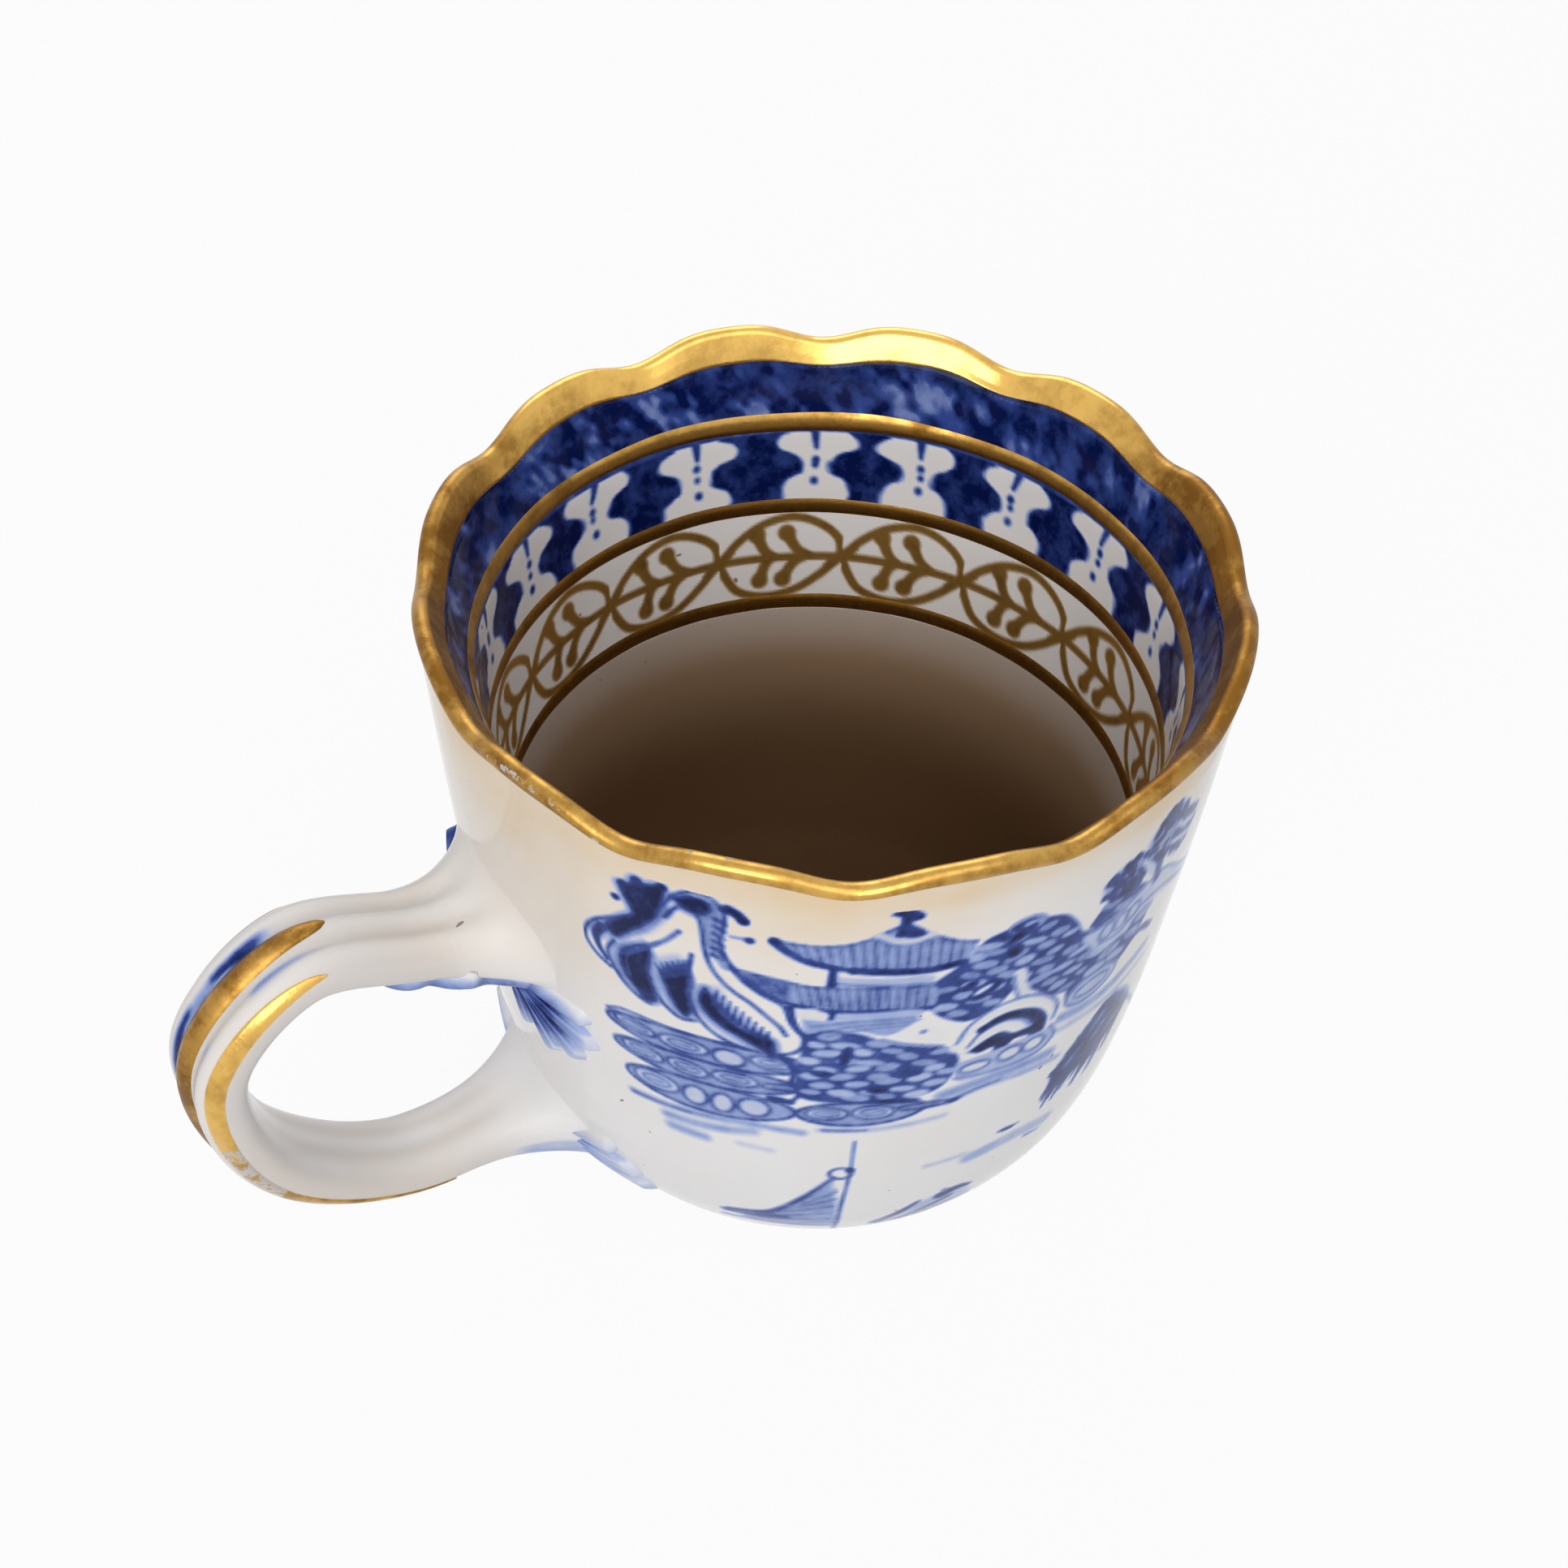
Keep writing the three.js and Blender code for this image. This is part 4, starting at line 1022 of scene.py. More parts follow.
def mixed(tree, share, a, b):
    node = add_node(tree, "ShaderNodeMix", data_type="RGBA")
    for index, source in ((0, share), (6, a), (7, b)):
        if isinstance(source, bpy.types.NodeSocket):
            tree.links.new(source, node.inputs[index])
        elif index == 0:
            node.inputs[index].default_value = source
        else:
            node.inputs[index].default_value = (*source, 1)
    return node.outputs[2]


def marked(tree, name):
    return add_node(tree, "ShaderNodeAttribute", attribute_name=name).outputs["Fac"]


def ramp(tree, value, stops):
    node = add_node(tree, "ShaderNodeValToRGB", {"Fac": value})
    elements = node.color_ramp.elements
    while len(elements) < len(stops):
        elements.new(0.5)
    for element, (position, colour) in zip(elements, stops):
        element.position = position
        element.color = (*colour, 1)
    return node.outputs["Color"]


def bumped(tree, height, distance, strength=1.0):
    links = {"Height": height, "Distance": distance, "Strength": strength}
    return add_node(tree, "ShaderNodeBump", links).outputs["Normal"]


def finish_surface(tree, links):
    shader = add_node(tree, "ShaderNodeBsdfPrincipled", links)
    add_node(tree, "ShaderNodeOutputMaterial", {"Surface": shader.outputs["BSDF"]})


def painted_glaze(tree, colours, cream=True):
    """Colour of the glaze with its cream tint, painted brown shade and cobalt painting. The cream tint is
    partly painted reflection and shade.
    """
    white = mixed(tree, ranged(tree, noise(tree, 55), 0.35, 0.7, 0, 0.35), colours.glaze, GREY_GLAZE)
    if cream:
        warm = maths(tree, "MULTIPLY", marked(tree, "cream"), ranged(tree, noise(tree, 70), 0.3, 0.7, 0.6, 1))
        white = mixed(tree, warm, white, colours.cream)
    specks = ranged(tree, noise(tree, 900, 0), 0.875, 0.885, 0, 0.8)
    white = mixed(tree, specks, white, SPECK)
    # Painted shade: points marked for it darken through tan to dark brown.
    brown_shade = maths(tree, "MULTIPLY", marked(tree, "painted_shade"), ranged(tree, noise(tree, 60), 0.2, 0.8, 0.94, 1))
    white = mixed(tree, ranged(tree, brown_shade, 0.0, 0.5), white, colours.tan)
    white = mixed(tree, ranged(tree, brown_shade, 0.36, 1.0), white, colours.brown_shade)
    brush = ranged(tree, noise(tree, 420, 4, 0.6), 0.25, 0.75, 0.80, 1.12)
    ink = maths(tree, "MULTIPLY", marked(tree, "cobalt"), brush)
    shade = ramp(tree, ink, [(0.0, colours.cobalt_pale), (0.30, colours.cobalt_pale),
                             (0.62, colours.cobalt_mid), (0.95, colours.cobalt_dark)])
    return mixed(tree, ranged(tree, ink, 0.0, 0.34), white, shade)


def glaze_material(colours, name="glazed_porcelain", cream=True):
    material, tree = new_material(name)
    uneven = noise(tree, 260, 2)
    gloss = ranged(tree, noise(tree, 120), 0.3, 0.7, 0.07, 0.14)
    finish_surface(tree, {
        "Base Color": painted_glaze(tree, colours, cream),
        "Specular IOR Level": GLAZE_SHINE,
        "Roughness": maths(tree, "ADD", gloss, maths(tree, "MULTIPLY", marked(tree, "painted_shade"), 0.7)),
        "Normal": bumped(tree, uneven, 0.00006, 0.5),
    })
    return material


def gold_colour(tree, colours):
    """Gold that dulls in patches of wear, and darkens where a piece is marked with painted shade."""
    patches = ranged(tree, noise(tree, 260, 5, 0.65), 0.36, 0.72, -0.2, 0.35)
    # Random rubbed patches, plus painted shade where a piece is marked for it.
    rubbed_and_shaded = maths(tree, "ADD", patches, marked(tree, "painted_gold_shade"))
    return mixed(tree, rubbed_and_shaded, colours.gold, colours.gold_dull), rubbed_and_shaded


def border_material(colours):
    """Glaze with cobalt painting and flat gilt lines."""
    material, tree = new_material("border_glaze")
    gilt = marked(tree, "gilt")
    gold, _ = gold_colour(tree, colours)
    finish_surface(tree, {
        "Base Color": mixed(tree, gilt, painted_glaze(tree, colours, False), gold),
        "Metallic": maths(tree, "MULTIPLY", gilt, 0.9),
        "Specular IOR Level": BORDER_SHINE,
        "Roughness": maths(tree, "ADD", maths(tree, "MULTIPLY", gilt, 0.28), 0.09),
        "Normal": bumped(tree, maths(tree, "ADD", gilt, maths(tree, "MULTIPLY", noise(tree, 260, 2), 0.3)),
                         0.00005, 0.6),
    })
    return material


def gold_material(colours, name, wear):
    """Fired gold with brush marks. Wear shows the glaze through it, most where a piece is marked as worn."""
    material, tree = new_material(name)
    gold, rubbed_and_shaded = gold_colour(tree, colours)
    worn = maths(tree, "MULTIPLY", marked(tree, "worn"), 0.42)
    patches = maths(tree, "ADD", noise(tree, 700, 5, 0.7), worn)
    bare = ranged(tree, patches, wear, wear + 0.05)
    kept = maths(tree, "SUBTRACT", 1.0, bare)
    dullness = ranged(tree, rubbed_and_shaded, 0, 1, 0.10, 0.30)
    ground = mixed(tree, 0.45, painted_glaze(tree, colours, False), colours.gold_dull)
    finish_surface(tree, {
        "Base Color": mixed(tree, bare, gold, ground),
        "Metallic": kept,
        "Specular IOR Level": GOLD_SHINE,
        "Roughness": maths(tree, "ADD", 0.12, maths(tree, "MULTIPLY", kept, dullness)),
        "Normal": bumped(tree, maths(tree, "ADD", noise(tree, 900, 3), maths(tree, "MULTIPLY", kept, 0.5)),
                         0.00008, 0.55),
    })
    return material


def biscuit_material(colours):
    """Foot ring: glazed sides, with bare porcelain where it stands."""
    material, tree = new_material("foot_porcelain")
    place = add_node(tree, "ShaderNodeTexCoord").outputs["Object"]
    height = add_node(tree, "ShaderNodeSeparateXYZ", {0: place}).outputs["Z"]
    ragged = maths(tree, "ADD", height, maths(tree, "MULTIPLY", noise(tree, 300), 0.0006))
    glazed = ranged(tree, ragged, 0.0006, 0.0010)
    grain = noise(tree, 1800, 3)
    bare = mixed(tree, ranged(tree, grain, 0.3, 0.7), colours.biscuit, DARK_BISCUIT)
    finish_surface(tree, {
        "Base Color": mixed(tree, glazed, bare, painted_glaze(tree, colours, False)),
        "Specular IOR Level": GOLD_SHINE,
        "Roughness": ranged(tree, glazed, 0, 1, 0.75, 0.10),
        "Normal": bumped(tree, grain, 0.00005, 0.5),
    })
    return material


def material_named(name, make, *settings):
    """The material of that name, made when it is first asked for."""
    return bpy.data.materials.get(name) or make(*settings)


# Pieces


def tapered(span, share):
    """A width share that is full along a span and rounds off at both ends."""
    return np.sqrt(np.maximum(0, 1 - np.abs(2 * share - 1) ** span))


class CUP_OT_bowl(bpy.types.Operator):
    """Bowl with its lobed lip, flat floor and glazed well"""

    bl_idname = "cup.bowl"
    bl_label = "Bowl"

    def execute(self, context):
        form = CupForm(context.scene.cup_sizes)
        floor = form.foot_height + 4.2
        profile = np.vstack([
            [(0, form.foot_height)],
            evenly(form.outer, 96),
            form.lip_arc(0, 14)[1:-1],
            evenly(form.inner[::-1], 80),
            [(form.foot_radius * 0.9, floor + 0.25), (form.foot_radius * 0.75, floor), (0, floor)],
        ])
        bm = spun(profile, 360)
        reshape(bm, lambda angle, radius, z, rows: form.lobed(angle, radius, z))
        material = material_named("glazed_porcelain", glaze_material, context.scene.cup_colours)
        bowl = add_piece("bowl_porcelain", bm, material, ["bowl"], 60)
        _, radius, height = cup_points(bowl)
        inside = radius < form.inner_at(height) + 0.6
        # Painted shade in the well: the inside darkens to brown towards the floor.
        deep = 0.32 * (1 - smoothstep(height, 37, 42)) + 0.66 * (1 - smoothstep(height, 17, 38))
        paint(bowl, "painted_shade", np.where(inside & (height > floor - 0.5), deep, 0))
        paint_cream(bowl)
        return {"FINISHED"}


class CUP_OT_foot(bpy.types.Operator):
    """Foot ring with a rounded edge and a bare standing face"""

    bl_idname = "cup.foot"
    bl_label = "Foot ring"

    wall = 2.6
    edge = 0.6

    def execute(self, context):
        form = CupForm(context.scene.cup_sizes)
        outside, inside = form.foot_radius, form.foot_radius - self.wall
        top = form.foot_height + 0.15
        profile = smooth_curve([
            (inside - 0.5, top),
            (inside, top - 0.5),
            (inside + self.edge / 2, self.edge / 2),
            (inside + self.edge + 0.2, 0.0),
            (outside - self.edge - 0.2, 0.0),
            (outside - self.edge / 2, self.edge / 2),
            (outside, top - 0.7),
            (outside + 0.6, top),
        ], 4)
        profile[:, 1] = np.maximum(profile[:, 1], 0)
        material = material_named("foot_porcelain", biscuit_material, context.scene.cup_colours)
        add_piece("foot_ring_porcelain", spun(profile, 180, close=True), material, ["foot_ring"])
        return {"FINISHED"}


class CUP_OT_handle(bpy.types.Operator):
    """Ribbed loop of the handle, with its blue washes along the spine"""

    bl_idname = "cup.handle"
    bl_label = "Handle loop"

    stations = 130

    def execute(self, context):
        loop = Loop(CupForm(context.scene.cup_sizes))
        stops = loop.stops(self.stations)
        rings = [loop.place(u, *loop.section(u).T) for u in stops]
        material = material_named("glazed_porcelain", glaze_material, context.scene.cup_colours)
        piece = add_piece("handle_porcelain", swept(rings), material, ["handle_loop"], 70)
        station = marks_of(piece, "station")
        along = stops[station]
        on_wall = np.array([loop.root_share(u) for u in stops])[station]
        section = loop.section(0.5)
        slot = marks_of(piece, "slot")
        across, outer = section[slot, 0], section[slot, 1] > 0
        broken = smoothstep(blotches(along * 34, across * 0.8 + 20, 17), 0.22, 0.62)
        far_run = smoothstep(along, 0.25, 0.30) * (1 - smoothstep(along, 0.52, 0.64))
        near_run = smoothstep(along, 0.22, 0.28) * (1 - smoothstep(along, 0.34, 0.42))
        far = 0.98 * far_run * np.exp(-(((across - 1.65) / 0.85) ** 4)) * (0.35 + 0.65 * broken)
        near = 0.36 * near_run * np.exp(-(((across + 2.0) / 0.9) ** 2)) * broken
        root = 0.46 * smoothstep(along, 0.87, 0.92) * (1 - smoothstep(np.abs(np.abs(across) - 3.6), 0.8, 1.9))
        paint(piece, "cobalt", np.where(outer, far + near + root * (0.5 + 0.5 * broken), 0))
        own = 0.05 + 0.15 * smoothstep(blotches(along * 9, across * 0.3 + 7, 23), 0.3, 0.8)
        angle, _, height = cup_points(piece)
        paint(piece, "cream", own + on_wall * (cream_at(angle, height) - own))
        # Painted shade along the strap, darkest in the valleys between the ribs and fading out where it meets
        # the wall.
        valley = 0.5 - 0.5 * np.cos(math.tau * loop.ribs * across / loop.form.width)
        paint(piece, "painted_shade", (1 - on_wall) * (0.07 + 0.08 * valley))
        return {"FINISHED"}


class CUP_OT_handle_gold(bpy.types.Operator):
    """Gold stripe on the spine of the handle and worn gold on its two edges"""

    bl_idname = "cup.handle_gold"
    bl_label = "Handle gilding"

    steps = 90
    # Each stripe's start and end along the loop, and its points of the section
    spine = (0.235, 0.64, list(range(23, 34)))
    near_edge = (0.25, 0.83, list(range(44, 55)))
    far_edge = (0.25, 0.83, list(range(1, 7)))

    def stripe(self, name, node, loop, material, start, end, points, lift):
        stops = np.linspace(start, end, self.steps)
        rings = []
        for u in stops:
            outline = loop.section(u)
            share = (u - start) / (end - start)
            wide = tapered(6, share)
            middle = (len(points) - 1) / 2
            at = middle + (np.arange(len(points)) - middle) * max(0.08, wide)
            over, under = (grow_outline(outline, amount)[points] for amount in (lift, 0.02))
            order = np.arange(len(points))
            over, under = (np.stack([np.interp(at, order, line[:, k]) for k in range(2)],
                                    axis=1) for line in (over, under))
            over[[0, -1]] = under[[0, -1]]
            ring = np.vstack([over, under[-2:0:-1]])
            rings.append(loop.place(u, *ring.T))
        piece = add_piece(name, swept(rings), material, [node])
        share = marks_of(piece, "station") / (self.steps - 1)
        slot = marks_of(piece, "slot") / len(points)
        edge = np.abs(2 * np.clip(slot, 0, 1) - 1) ** 3
        return piece, share, edge

    def execute(self, context):
        sizes, colours = context.scene.cup_sizes, context.scene.cup_colours
        loop = Loop(CupForm(sizes))
        lift = sizes.gilding / MM * 0.6
        kept = material_named("spine_gold", gold_material, colours, "spine_gold", 0.78)
        rubbed_and_shaded = material_named("rubbed_gold", gold_material, colours, "rubbed_gold", 0.66)
        piece, share, edge = self.stripe("spine_gold", "spine_gilding", loop, kept, *self.spine, lift)
        paint(piece, "worn", 0.35 * edge + 0.25 * smoothstep(share, 0.8, 1))
        # Painted shade: the spine's gold is darkened all along.
        paint(piece, "painted_gold_shade", np.full(len(share), 0.85))
        for side, stripe in (("near", self.near_edge), ("far", self.far_edge)):
            name, node = f"{side}_edge_gold", f"edge_gilding_{side}"
            piece, share, edge = self.stripe(name, node, loop, rubbed_and_shaded, *stripe, lift)
            # Painted shade: the edge gold darkens further along the loop.
            paint(piece, "painted_gold_shade", 0.10 + 0.5 * smoothstep(share, 0.3, 0.6))
            bare = smoothstep(share, 0.36, 0.50) * (1 - smoothstep(share, 0.58, 0.68))
            if side == "far":
                bare = np.maximum(bare, 1 - smoothstep(share, 0.3, 0.5))
            paint(piece, "worn", 0.15 * edge + 0.62 * bare)
        return {"FINISHED"}


class CUP_OT_leaves(bpy.types.Operator):
    """Moulded leaf sprigs that cover the joints of the handle"""

    bl_idname = "cup.leaves"
    bl_label = "Leaf sprigs"

    lobes = 5

    def fan(self, form, side, root, reach, turns, proud):
        """A fan of ribbed lobes on the wall. The root is a distance from the handle's plane and a height."""

        def outline(along, across):
            scallop = 0.92 + 0.24 * np.abs(np.cos(math.pi * (self.lobes - 0.5) * across / 2))
            shrink = 1 - 0.22 * np.abs(across) ** 3
            far = (0.06 + 0.94 * along) * reach * (1 + (scallop * shrink - 1) * along)
            turn = np.radians(turns[0] + (turns[1] - turns[0]) * (across + 1) / 2)
            return root[0] + far * np.cos(turn), root[1] + far * np.sin(turn)

        def placed(run, z, lift):
            angle = math.pi + side * run / form.outer_at(z)
            radius = form.outer_at(z) + lift
            return np.stack([radius * np.cos(angle), radius * np.sin(angle), z], axis=1)

        def over(along, across):
            run, z = outline(along, across)
            edge = np.minimum(smoothstep(1 - along, 0, 0.10), smoothstep(1 - np.abs(across), 0, 0.10))
            rib = 0.5 + 0.5 * np.cos(math.tau * (self.lobes - 0.5) * across / 2)
            body = proud * (1 - 0.45 * along) * (0.72 + 0.28 * rib)
            return placed(run, z, -0.12 + edge * body)

        def under(along, across):
            return placed(*outline(along, across), -0.9)

        return relief(40, 60, over, under)

    def hanging(self, loop):
        """A leaf with curled lobes under the upper arm."""
        start = (loop.sink + 1.2) / loop.length
        reach = 11.5 / loop.length

        def strap(along, across, drop):
            points = []
            for a, b, d in zip(along, across, drop):
                u = start + a * reach
                extra = loop.swell(u)
                width, thick = loop.form.width + extra, loop.form.thickness + extra
                curl = 1 + 0.16 * math.cos(5.5 * math.pi * a)
                half = width / 2 * (0.99 - 0.62 * a * a) * curl
                lap = max(0.0, abs(b) - 0.72) / 0.28
                y = half * math.copysign(min(abs(b) / 0.86, 1.0), b)
                low = -thick / 2 * (1 - 0.35 * min(1, abs(2 * y / width)) ** 3)
                points.append(loop.place(u, y, low - d + 1.2 * lap * (1 - 0.6 * a)))
            return np.array(points)

        def over(along, across):
            fade = np.minimum(smoothstep(1 - along, 0, 0.12), smoothstep(1 - np.abs(across), 0, 0.10))
            rib = 0.5 + 0.5 * np.cos(math.tau * 2.5 * across)
            return strap(along, across, fade * (0.95 + 0.35 * rib + 0.45 * np.sin(3 * math.pi * along) ** 2))

        def under(along, across):
            return strap(along, across, np.full(len(along), -0.5))

        return relief(36, 36, over, under)

    def wash(self, piece, dark, tips, rim=0.12):
        """Cobalt that pools between the ribs and thins out towards the tips."""
        along, across = marks_of(piece, "along"), marks_of(piece, "across")
        rib = 0.5 + 0.5 * np.cos(math.tau * (self.lobes - 0.5) * across / 2)
        off_vein = ((across * (self.lobes - 0.5) + 1) % 1 - 0.5) / 0.09
        vein = np.exp(-(off_vein**2)) * smoothstep(along, 0.1, 0.3)
        cloud = blotches(along * 5 + 3, across * 4 + 9, 29)
        pooled = (0.72 + 0.4 * (1 - rib)) * (0.75 + 0.4 * cloud)
        ink = dark * (1 - tips * smoothstep(along, 0.45, 0.95)) * pooled
        paint(piece, "cobalt", ink * (1 - 0.55 * vein) * smoothstep(1 - np.abs(across), 0, rim))

    def execute(self, context):
        form = CupForm(context.scene.cup_sizes)
        material = material_named("leaf_glaze", glaze_material, context.scene.cup_colours, "leaf_glaze",
                                  False)
        for side, word in ((1, "near"), (-1, "far")):
            root, proud = ((4.0, 40.3), 1.7) if side > 0 else ((4.0, 41.8), 2.3)
            upper = self.fan(form, side, root, 10.0, (-100, 5), proud)
            piece = add_piece(f"upper_leaf_{word}_glaze", upper, material,
                              [f"upper_leaf_{word}"])
            if side > 0:
                self.wash(piece, 0.98, 0.72)
            else:
                # The far leaf keeps dark cobalt out to its tips and edges: partly its blue, partly painted
                # shade behind the handle.
                self.wash(piece, 1.0, 0.1, 0.01)
            lower = self.fan(form, side, (2.6, 13.4), 11.0, (-62, 28), 1.7)
            piece = add_piece(f"lower_leaf_{word}_glaze", lower, material,
                              [f"lower_leaf_{word}"])
            self.wash(piece, 0.46, 0.5)
        piece = add_piece("underarm_leaf_glaze", self.hanging(Loop(form)), material,
                          ["underarm_leaf"])
        self.wash(piece, 0.76, 0.15)
        return {"FINISHED"}


class CUP_OT_gilding(bpy.types.Operator):
    """Gold over the lip and three brushed gold lines inside the mouth"""

    bl_idname = "cup.gilding"
    bl_label = "Rim gilding"

    rows = 7
    proud = 0.16

    def waver(self, angle, seed, size):
        """Uneven brush work round the whole turn."""
        rng = np.random.default_rng(seed)
        wave = np.zeros_like(angle)
        for turns in (2, 3, 5, 7, 11, 17, 26):
            wave += rng.normal(0, 1) * np.sin(turns * angle + rng.uniform(0, math.tau)) / turns**0.6
        return size * wave

    def line(self, name, node, form, material, drop, width, seed, waver):
        across = np.linspace(-1, 1, self.rows)
        z = form.height - drop - across * width / 2
        skin = np.stack([form.inner_at(z) - self.proud * np.sqrt(1.02 - across**2), z], axis=1)
        back = np.stack([form.inner_at(z[::-1]) + 0.05, z[::-1]], axis=1)
        bm = spun(np.vstack([skin, back]), 360, close=True)
        last = self.rows - 1

        def brushed(angle, radius, z, rows):
            part = np.where(rows <= last, rows, 2 * last + 1 - rows) * 2 / last - 1
            low = z - self.waver(angle, seed, waver)
            edges = np.where(part < 0, self.waver(angle, seed + 1, waver), self.waver(angle, seed + 2, waver))
            low = low - 0.55 * edges * np.abs(part)
            return angle, radius + form.inner_at(low) - form.inner_at(z), low

        reshape(bm, brushed)
        piece = add_piece(name, bm, material, [node])
        angle, _, _ = cup_points(piece)
        # Painted dark reflection on the gold lines inside the mouth, with random tone round the turn.
        paint(piece, "painted_gold_shade", 0.5 + 0.2 * blotches(angle / 6, np.zeros_like(angle), seed, 60))

    def over_lip(self, form, lift, material):
        """Gold from the outside of the lip, over it and down the inside."""
        top = form.height - form.lip / 2
        inside = evenly(form.inner[form.inner[:, 1] > top - 1.7][::-1], 8)
        outside = evenly(form.outer[form.outer[:, 1] > top - 0.5], 4)
        over, under = (
            np.vstack([outside[:-1] + (amount, 0), form.lip_arc(amount, 16), inside - (amount, 0)])
            for amount in (lift, 0.02)
        )
        over[0], over[-1] = 0.3 * over[0] + 0.7 * under[0], 0.3 * over[-1] + 0.7 * under[-1]
        bm = spun(np.vstack([over, under[::-1]]), 360, close=True)
        last = len(over) - 1

        def brushed(angle, radius, z, rows):
            part = np.where(rows <= last, rows, 2 * last + 1 - rows)
            z = z + np.where(part < 1, self.waver(angle, 3, 0.05), 0)
            z = z + np.where(part > last - 6, self.waver(angle, 4, 0.16),
                             0) * np.clip((part - last + 6) / 6, 0, 1)
            return form.lobed(angle, radius, z)

        reshape(bm, brushed)
        rim = add_piece("lip_gold", bm, material, ["rim_gilding"], 80)
        part = marks_of(rim, "row")
        part = np.where(part <= last, part, 2 * last + 1 - part)
        angle, _, _ = cup_points(rim)
        facing = np.cos(np.radians(angle - FRONT_ANGLE))
        rough = blotches(angle / 360 * 40, part / 6, 31, 40)
        beside = smoothstep(np.cos(np.radians(angle - 200)), 0.75, 0.97)
        edges = 0.4 * (part < 1) + 0.2 * (part > last - 1)
        paint(rim, "worn", edges + 0.75 * beside * smoothstep(rough, 0.45, 0.85))
        # Painted shade on the lip gold: darker where it faces the front and the sides and on the right,
        # lightest at the back, varied at random.
        shaded = smoothstep(np.cos(np.radians(angle - 325)), 0.55, 0.98)
        dull = 0.50 * smoothstep(facing, -0.86, 0.1) + 0.40 * (1 - facing**2) + 0.35 * shaded
        paint(rim, "painted_gold_shade", dull * (0.8 + 0.4 * rough))

    def execute(self, context):
        sizes, colours = context.scene.cup_sizes, context.scene.cup_colours
        form = CupForm(sizes)
        material = material_named("lip_gold", gold_material, colours, "lip_gold", 0.83)
        self.over_lip(form, sizes.gilding / MM / 2, material)
        lines = (
            ("border_gold_line", "border_gilt_line", 8.2, 1.75, 40, 0.17),
            ("upper_chain_line", "chain_upper_line", 18.45, 1.75, 50, 0.07),
            ("lower_chain_line", "chain_lower_line", 30.8, 1.8, 60, 0.07),
        )
        for name, node, drop, width, seed, waver in lines:
            self.line(name, node, form, material, drop, width, seed, waver)
        return {"FINISHED"}


class CUP_OT_border(bpy.types.Operator):
    """Painted skin inside the mouth: mottled band, pendants and gilt chain"""

    bl_idname = "cup.border"
    bl_label = "Inner border"

    depth = 32.6
    rows = 112
    columns = 780

    def execute(self, context):
        sizes = context.scene.cup_sizes
        form = CupForm(sizes)
        wall = form.inner[form.inner[:, 1] > form.height - self.depth]
        face = evenly(wall, self.rows)
        rows = np.arange(len(face))
        edge = np.minimum(smoothstep(rows, 0, 5), smoothstep(len(face) - 1 - rows, 0, 3))
        face[:, 0] -= SKIN_SUNK + (SKIN_PROUD - SKIN_SUNK) * edge
        back = evenly(wall, 7)[::-1] + (SKIN_DEPTH, 0)
        bm = spun(np.vstack([face, back]), self.columns, close=True)
        reshape(bm, lambda angle, radius, z, rows: form.lobed(angle, radius, z))
        material = material_named("border_glaze", border_material, context.scene.cup_colours)
        piece = add_piece("inner_border_glaze", bm, material, (), 60)
        paint_border(piece, form, sizes)
        return {"FINISHED"}


class CUP_OT_landscape(bpy.types.Operator):
    """Two painted skins on the wall, each with the same landscape"""

    bl_idname = "cup.landscape"
    bl_label = "Landscapes"

    bottom = 4.6
    top_drop = 2.5
    rows = 236
    columns = 384
    turn = 150

    def execute(self, context):
        form = CupForm(context.scene.cup_sizes)
        painted = (form.outer[:, 1] > self.bottom) & (form.outer[:, 1] < form.height - self.top_drop)
        wall, normals = form.outer[painted], form.normals[painted]
        face, out = evenly(wall, self.rows), evenly(np.hstack([wall, normals]), self.rows)[:, 2:]
        rows = np.arange(len(face))
        edge = np.minimum(smoothstep(rows, 0, 20), smoothstep(len(face) - 1 - rows, 0, 5))
        back = evenly(wall, 9)[::-1] - (SKIN_DEPTH, 0)
        material = material_named("glazed_porcelain", glaze_material, context.scene.cup_colours)
        for word, start, zero in (("front", 201.0, FRONT_ANGLE), ("back", 21.0, BACK_ANGLE)):
            bm = spun(np.vstack([face, back]), self.columns, math.radians(self.turn))

            def wrapped(angle, radius, z, rows):
                part = np.degrees(angle) % 360 / self.turn
                part = np.where(part < 2, part, 0)
                turn = np.radians(start + self.turn * (part - 0.055 * np.sin(math.tau * (part - 0.02))))
                front = rows < len(face)
                number = np.where(front, rows, 0)
                sides = smoothstep(np.minimum(part, 1 - part), 0, 0.02)
                lift = SKIN_SUNK + (SKIN_PROUD - SKIN_SUNK) * np.minimum(edge[number], sides)
                lift = np.where(front, lift, 0)
                return form.lobed(turn, radius + lift * out[number, 0], z + lift * out[number, 1])

            reshape(bm, wrapped)
            piece = add_piece(f"landscape_{word}_glaze", bm, material, (), 60)
            paint_landscape(piece, zero)
        return {"FINISHED"}


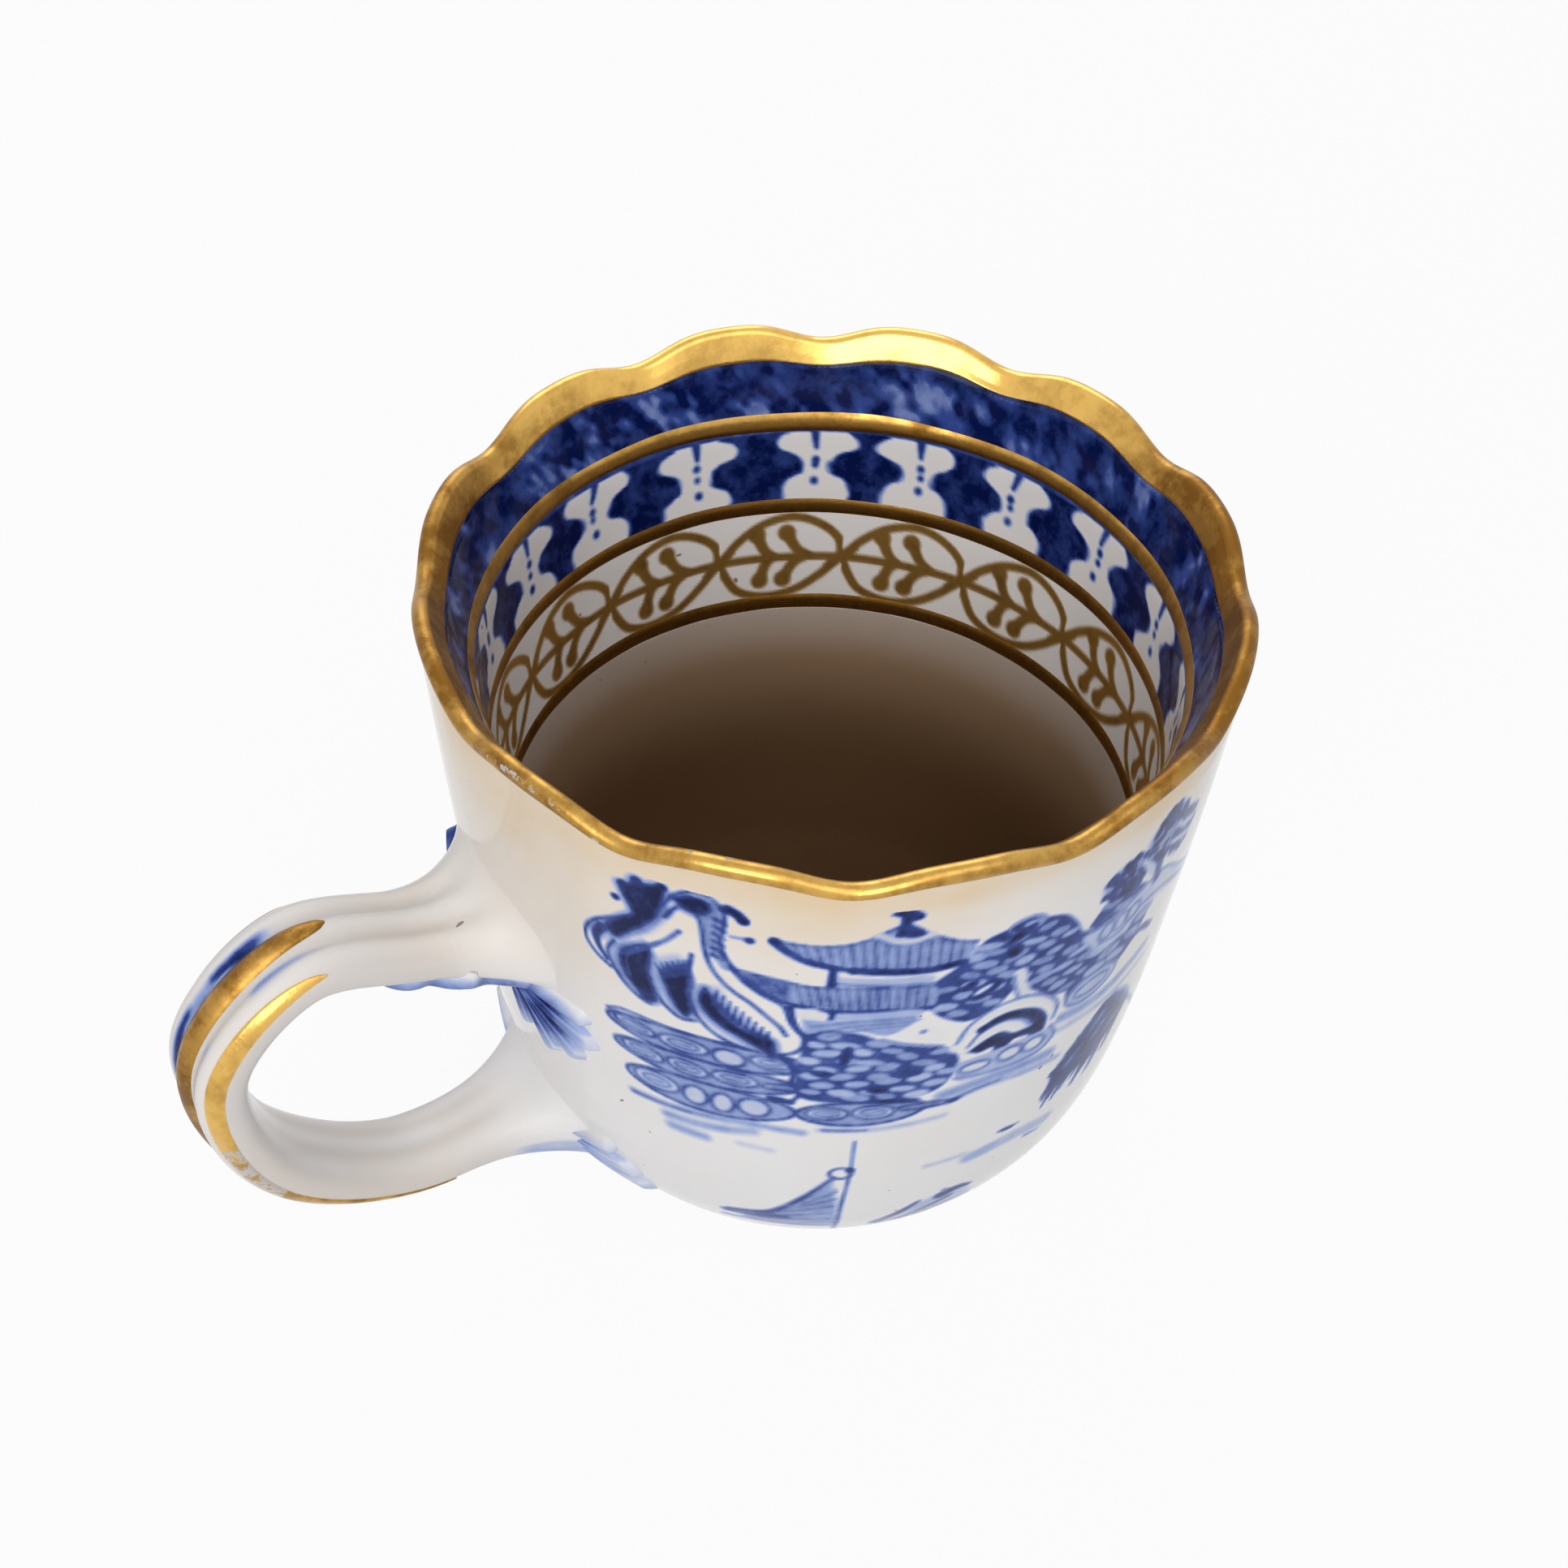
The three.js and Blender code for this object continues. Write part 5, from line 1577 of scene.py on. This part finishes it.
class CUP_OT_stage(bpy.types.Operator):
    """Pale floor, soft studio light and the camera"""

    bl_idname = "cup.stage"
    bl_label = "Stage"

    floor_size = 8.0
    floor_white = 0.93
    sky = 0.36
    # Place, target, size, power and colour of each lamp
    lamps = {
        "key": ((-0.44, -0.40, 0.40), (0.01, 0, 0.04), 0.40, 2.1, (1.0, 0.985, 0.97)),
        "fill": ((-0.05, -0.45, 0.60), (0, 0, 0.04), 0.5, 0.9, (0.98, 0.99, 1.0)),
        "back": ((0.20, 0.45, 0.45), (0, 0, 0.05), 0.4, 0.9, (1.0, 0.98, 0.95)),
    }
    # The camera's place from the foot in millimetres, its turns in degrees, and its lens in pixels
    away, above = 167.62, 214.43
    pan, tilt, roll = -0.32, 46.25, 3.24
    focal, frame_width, shift = 3000, 1932, (-35.42, 23.62)
    sensor = 36

    def lamp(self, name, place, target, size, power, colour):
        light = bpy.data.lights.new(name, "AREA")
        light.size = size
        light.energy = power
        light.color = colour
        lamp = bpy.data.objects.new(name, light)
        lamp.location = place
        lamp.rotation_euler = (Vector(target) - Vector(place)).to_track_quat("-Z", "Y").to_euler()
        bpy.context.scene.collection.objects.link(lamp)

    def floor(self, colours):
        bm = bmesh.new()
        bmesh.ops.create_grid(bm, x_segments=1, y_segments=1, size=self.floor_size)
        mesh = bpy.data.meshes.new("floor")
        bm.to_mesh(mesh)
        bm.free()
        material, tree = new_material("pale_floor")
        matte = add_node(tree, "ShaderNodeBsdfDiffuse", {"Color": (*colours.floor, 1)})
        glow = add_node(tree, "ShaderNodeEmission", {"Color": (1, 1, 1, 1), "Strength": 1.0})
        path = add_node(tree, "ShaderNodeLightPath")
        seen = maths(tree, "MAXIMUM", path.outputs["Is Camera Ray"], path.outputs["Is Glossy Ray"])
        share = maths(tree, "MULTIPLY", seen, self.floor_white)
        mix = add_node(tree, "ShaderNodeMixShader", {0: share, 1: matte.outputs[0], 2: glow.outputs[0]})
        add_node(tree, "ShaderNodeOutputMaterial", {"Surface": mix.outputs[0]})
        mesh.materials.append(material)
        floor = bpy.data.objects.new("floor", mesh)
        bpy.context.scene.collection.objects.link(floor)

    def world(self):
        world = bpy.data.worlds.new("studio")
        world.use_nodes = True
        tree = world.node_tree
        tree.nodes.clear()
        path = add_node(tree, "ShaderNodeLightPath")
        seen = maths(tree, "MAXIMUM", path.outputs["Is Camera Ray"], path.outputs["Is Glossy Ray"])
        seen = maths(tree, "MAXIMUM", seen, path.outputs["Is Transmission Ray"])
        soft = add_node(tree, "ShaderNodeBackground", {"Color": (0.95, 0.97, 1.0, 1), "Strength": self.sky})
        white = add_node(tree, "ShaderNodeBackground", {"Color": (1, 1, 1, 1), "Strength": 1.0})
        mix = add_node(tree, "ShaderNodeMixShader", {0: seen, 1: soft.outputs[0], 2: white.outputs[0]})
        add_node(tree, "ShaderNodeOutputWorld", {"Surface": mix.outputs[0]})
        bpy.context.scene.world = world

    def camera(self):
        """The photo's viewpoint, with its turns in the plane that holds it and the cup's axis."""
        pan, tilt, roll = (math.radians(angle) for angle in (self.pan, self.tilt, self.roll))
        turn = Matrix.Rotation(math.radians(FRONT_ANGLE - 270), 3, "Z")
        ahead = Vector((math.sin(pan) * math.cos(tilt), math.cos(pan) * math.cos(tilt), -math.sin(tilt)))
        right = Vector((math.cos(pan), -math.sin(pan), 0))
        up = right.cross(ahead)
        across = turn @ (right * math.cos(roll) + up * math.sin(roll))
        upright = turn @ (up * math.cos(roll) - right * math.sin(roll))
        ahead = turn @ ahead
        lens = bpy.data.cameras.new("camera")
        lens.sensor_width = self.sensor
        lens.lens = self.focal / self.frame_width * self.sensor
        lens.shift_x, lens.shift_y = (pixels / self.frame_width for pixels in self.shift)
        lens.clip_start = 0.01
        camera = bpy.data.objects.new("camera", lens)
        place = AXIS + turn @ Vector((0, -self.away, self.above)) * MM
        turned = Matrix((across, upright, -ahead)).transposed().to_4x4()
        camera.matrix_world = Matrix.Translation(place) @ turned
        bpy.context.scene.collection.objects.link(camera)
        bpy.context.scene.camera = camera

    def execute(self, context):
        self.floor(context.scene.cup_colours)
        self.world()
        for name, settings in self.lamps.items():
            self.lamp(name, *settings)
        self.camera()
        context.scene.view_settings.view_transform = "Standard"
        return {"FINISHED"}


class CUP_PT_panel(bpy.types.Panel):
    """Lists the pieces of the cup with its sizes and colours"""

    bl_idname = "CUP_PT_panel"
    bl_label = "Porcelain Cup"
    bl_space_type = "VIEW_3D"
    bl_region_type = "UI"
    bl_category = "Cup"

    def draw(self, context):
        for group in (context.scene.cup_sizes, context.scene.cup_colours):
            box = self.layout.box()
            for name in group.__annotations__:
                box.prop(group, name)
        for operator in OPERATORS:
            self.layout.operator(operator.bl_idname)


OPERATORS = (
    CUP_OT_bowl,
    CUP_OT_foot,
    CUP_OT_handle,
    CUP_OT_handle_gold,
    CUP_OT_leaves,
    CUP_OT_gilding,
    CUP_OT_border,
    CUP_OT_landscape,
    CUP_OT_stage,
)
CLASSES = (CupSizes, CupColours, *OPERATORS, CUP_PT_panel)


def register():
    for item in CLASSES:
        bpy.utils.register_class(item)
    bpy.types.Scene.cup_sizes = bpy.props.PointerProperty(type=CupSizes)
    bpy.types.Scene.cup_colours = bpy.props.PointerProperty(type=CupColours)


def unregister():
    del bpy.types.Scene.cup_colours
    del bpy.types.Scene.cup_sizes
    for item in reversed(CLASSES):
        bpy.utils.unregister_class(item)


def main():
    register()
    for operator in OPERATORS:
        getattr(bpy.ops.cup, operator.bl_idname.split(".")[1])()


if __name__ == "__main__":
    main()
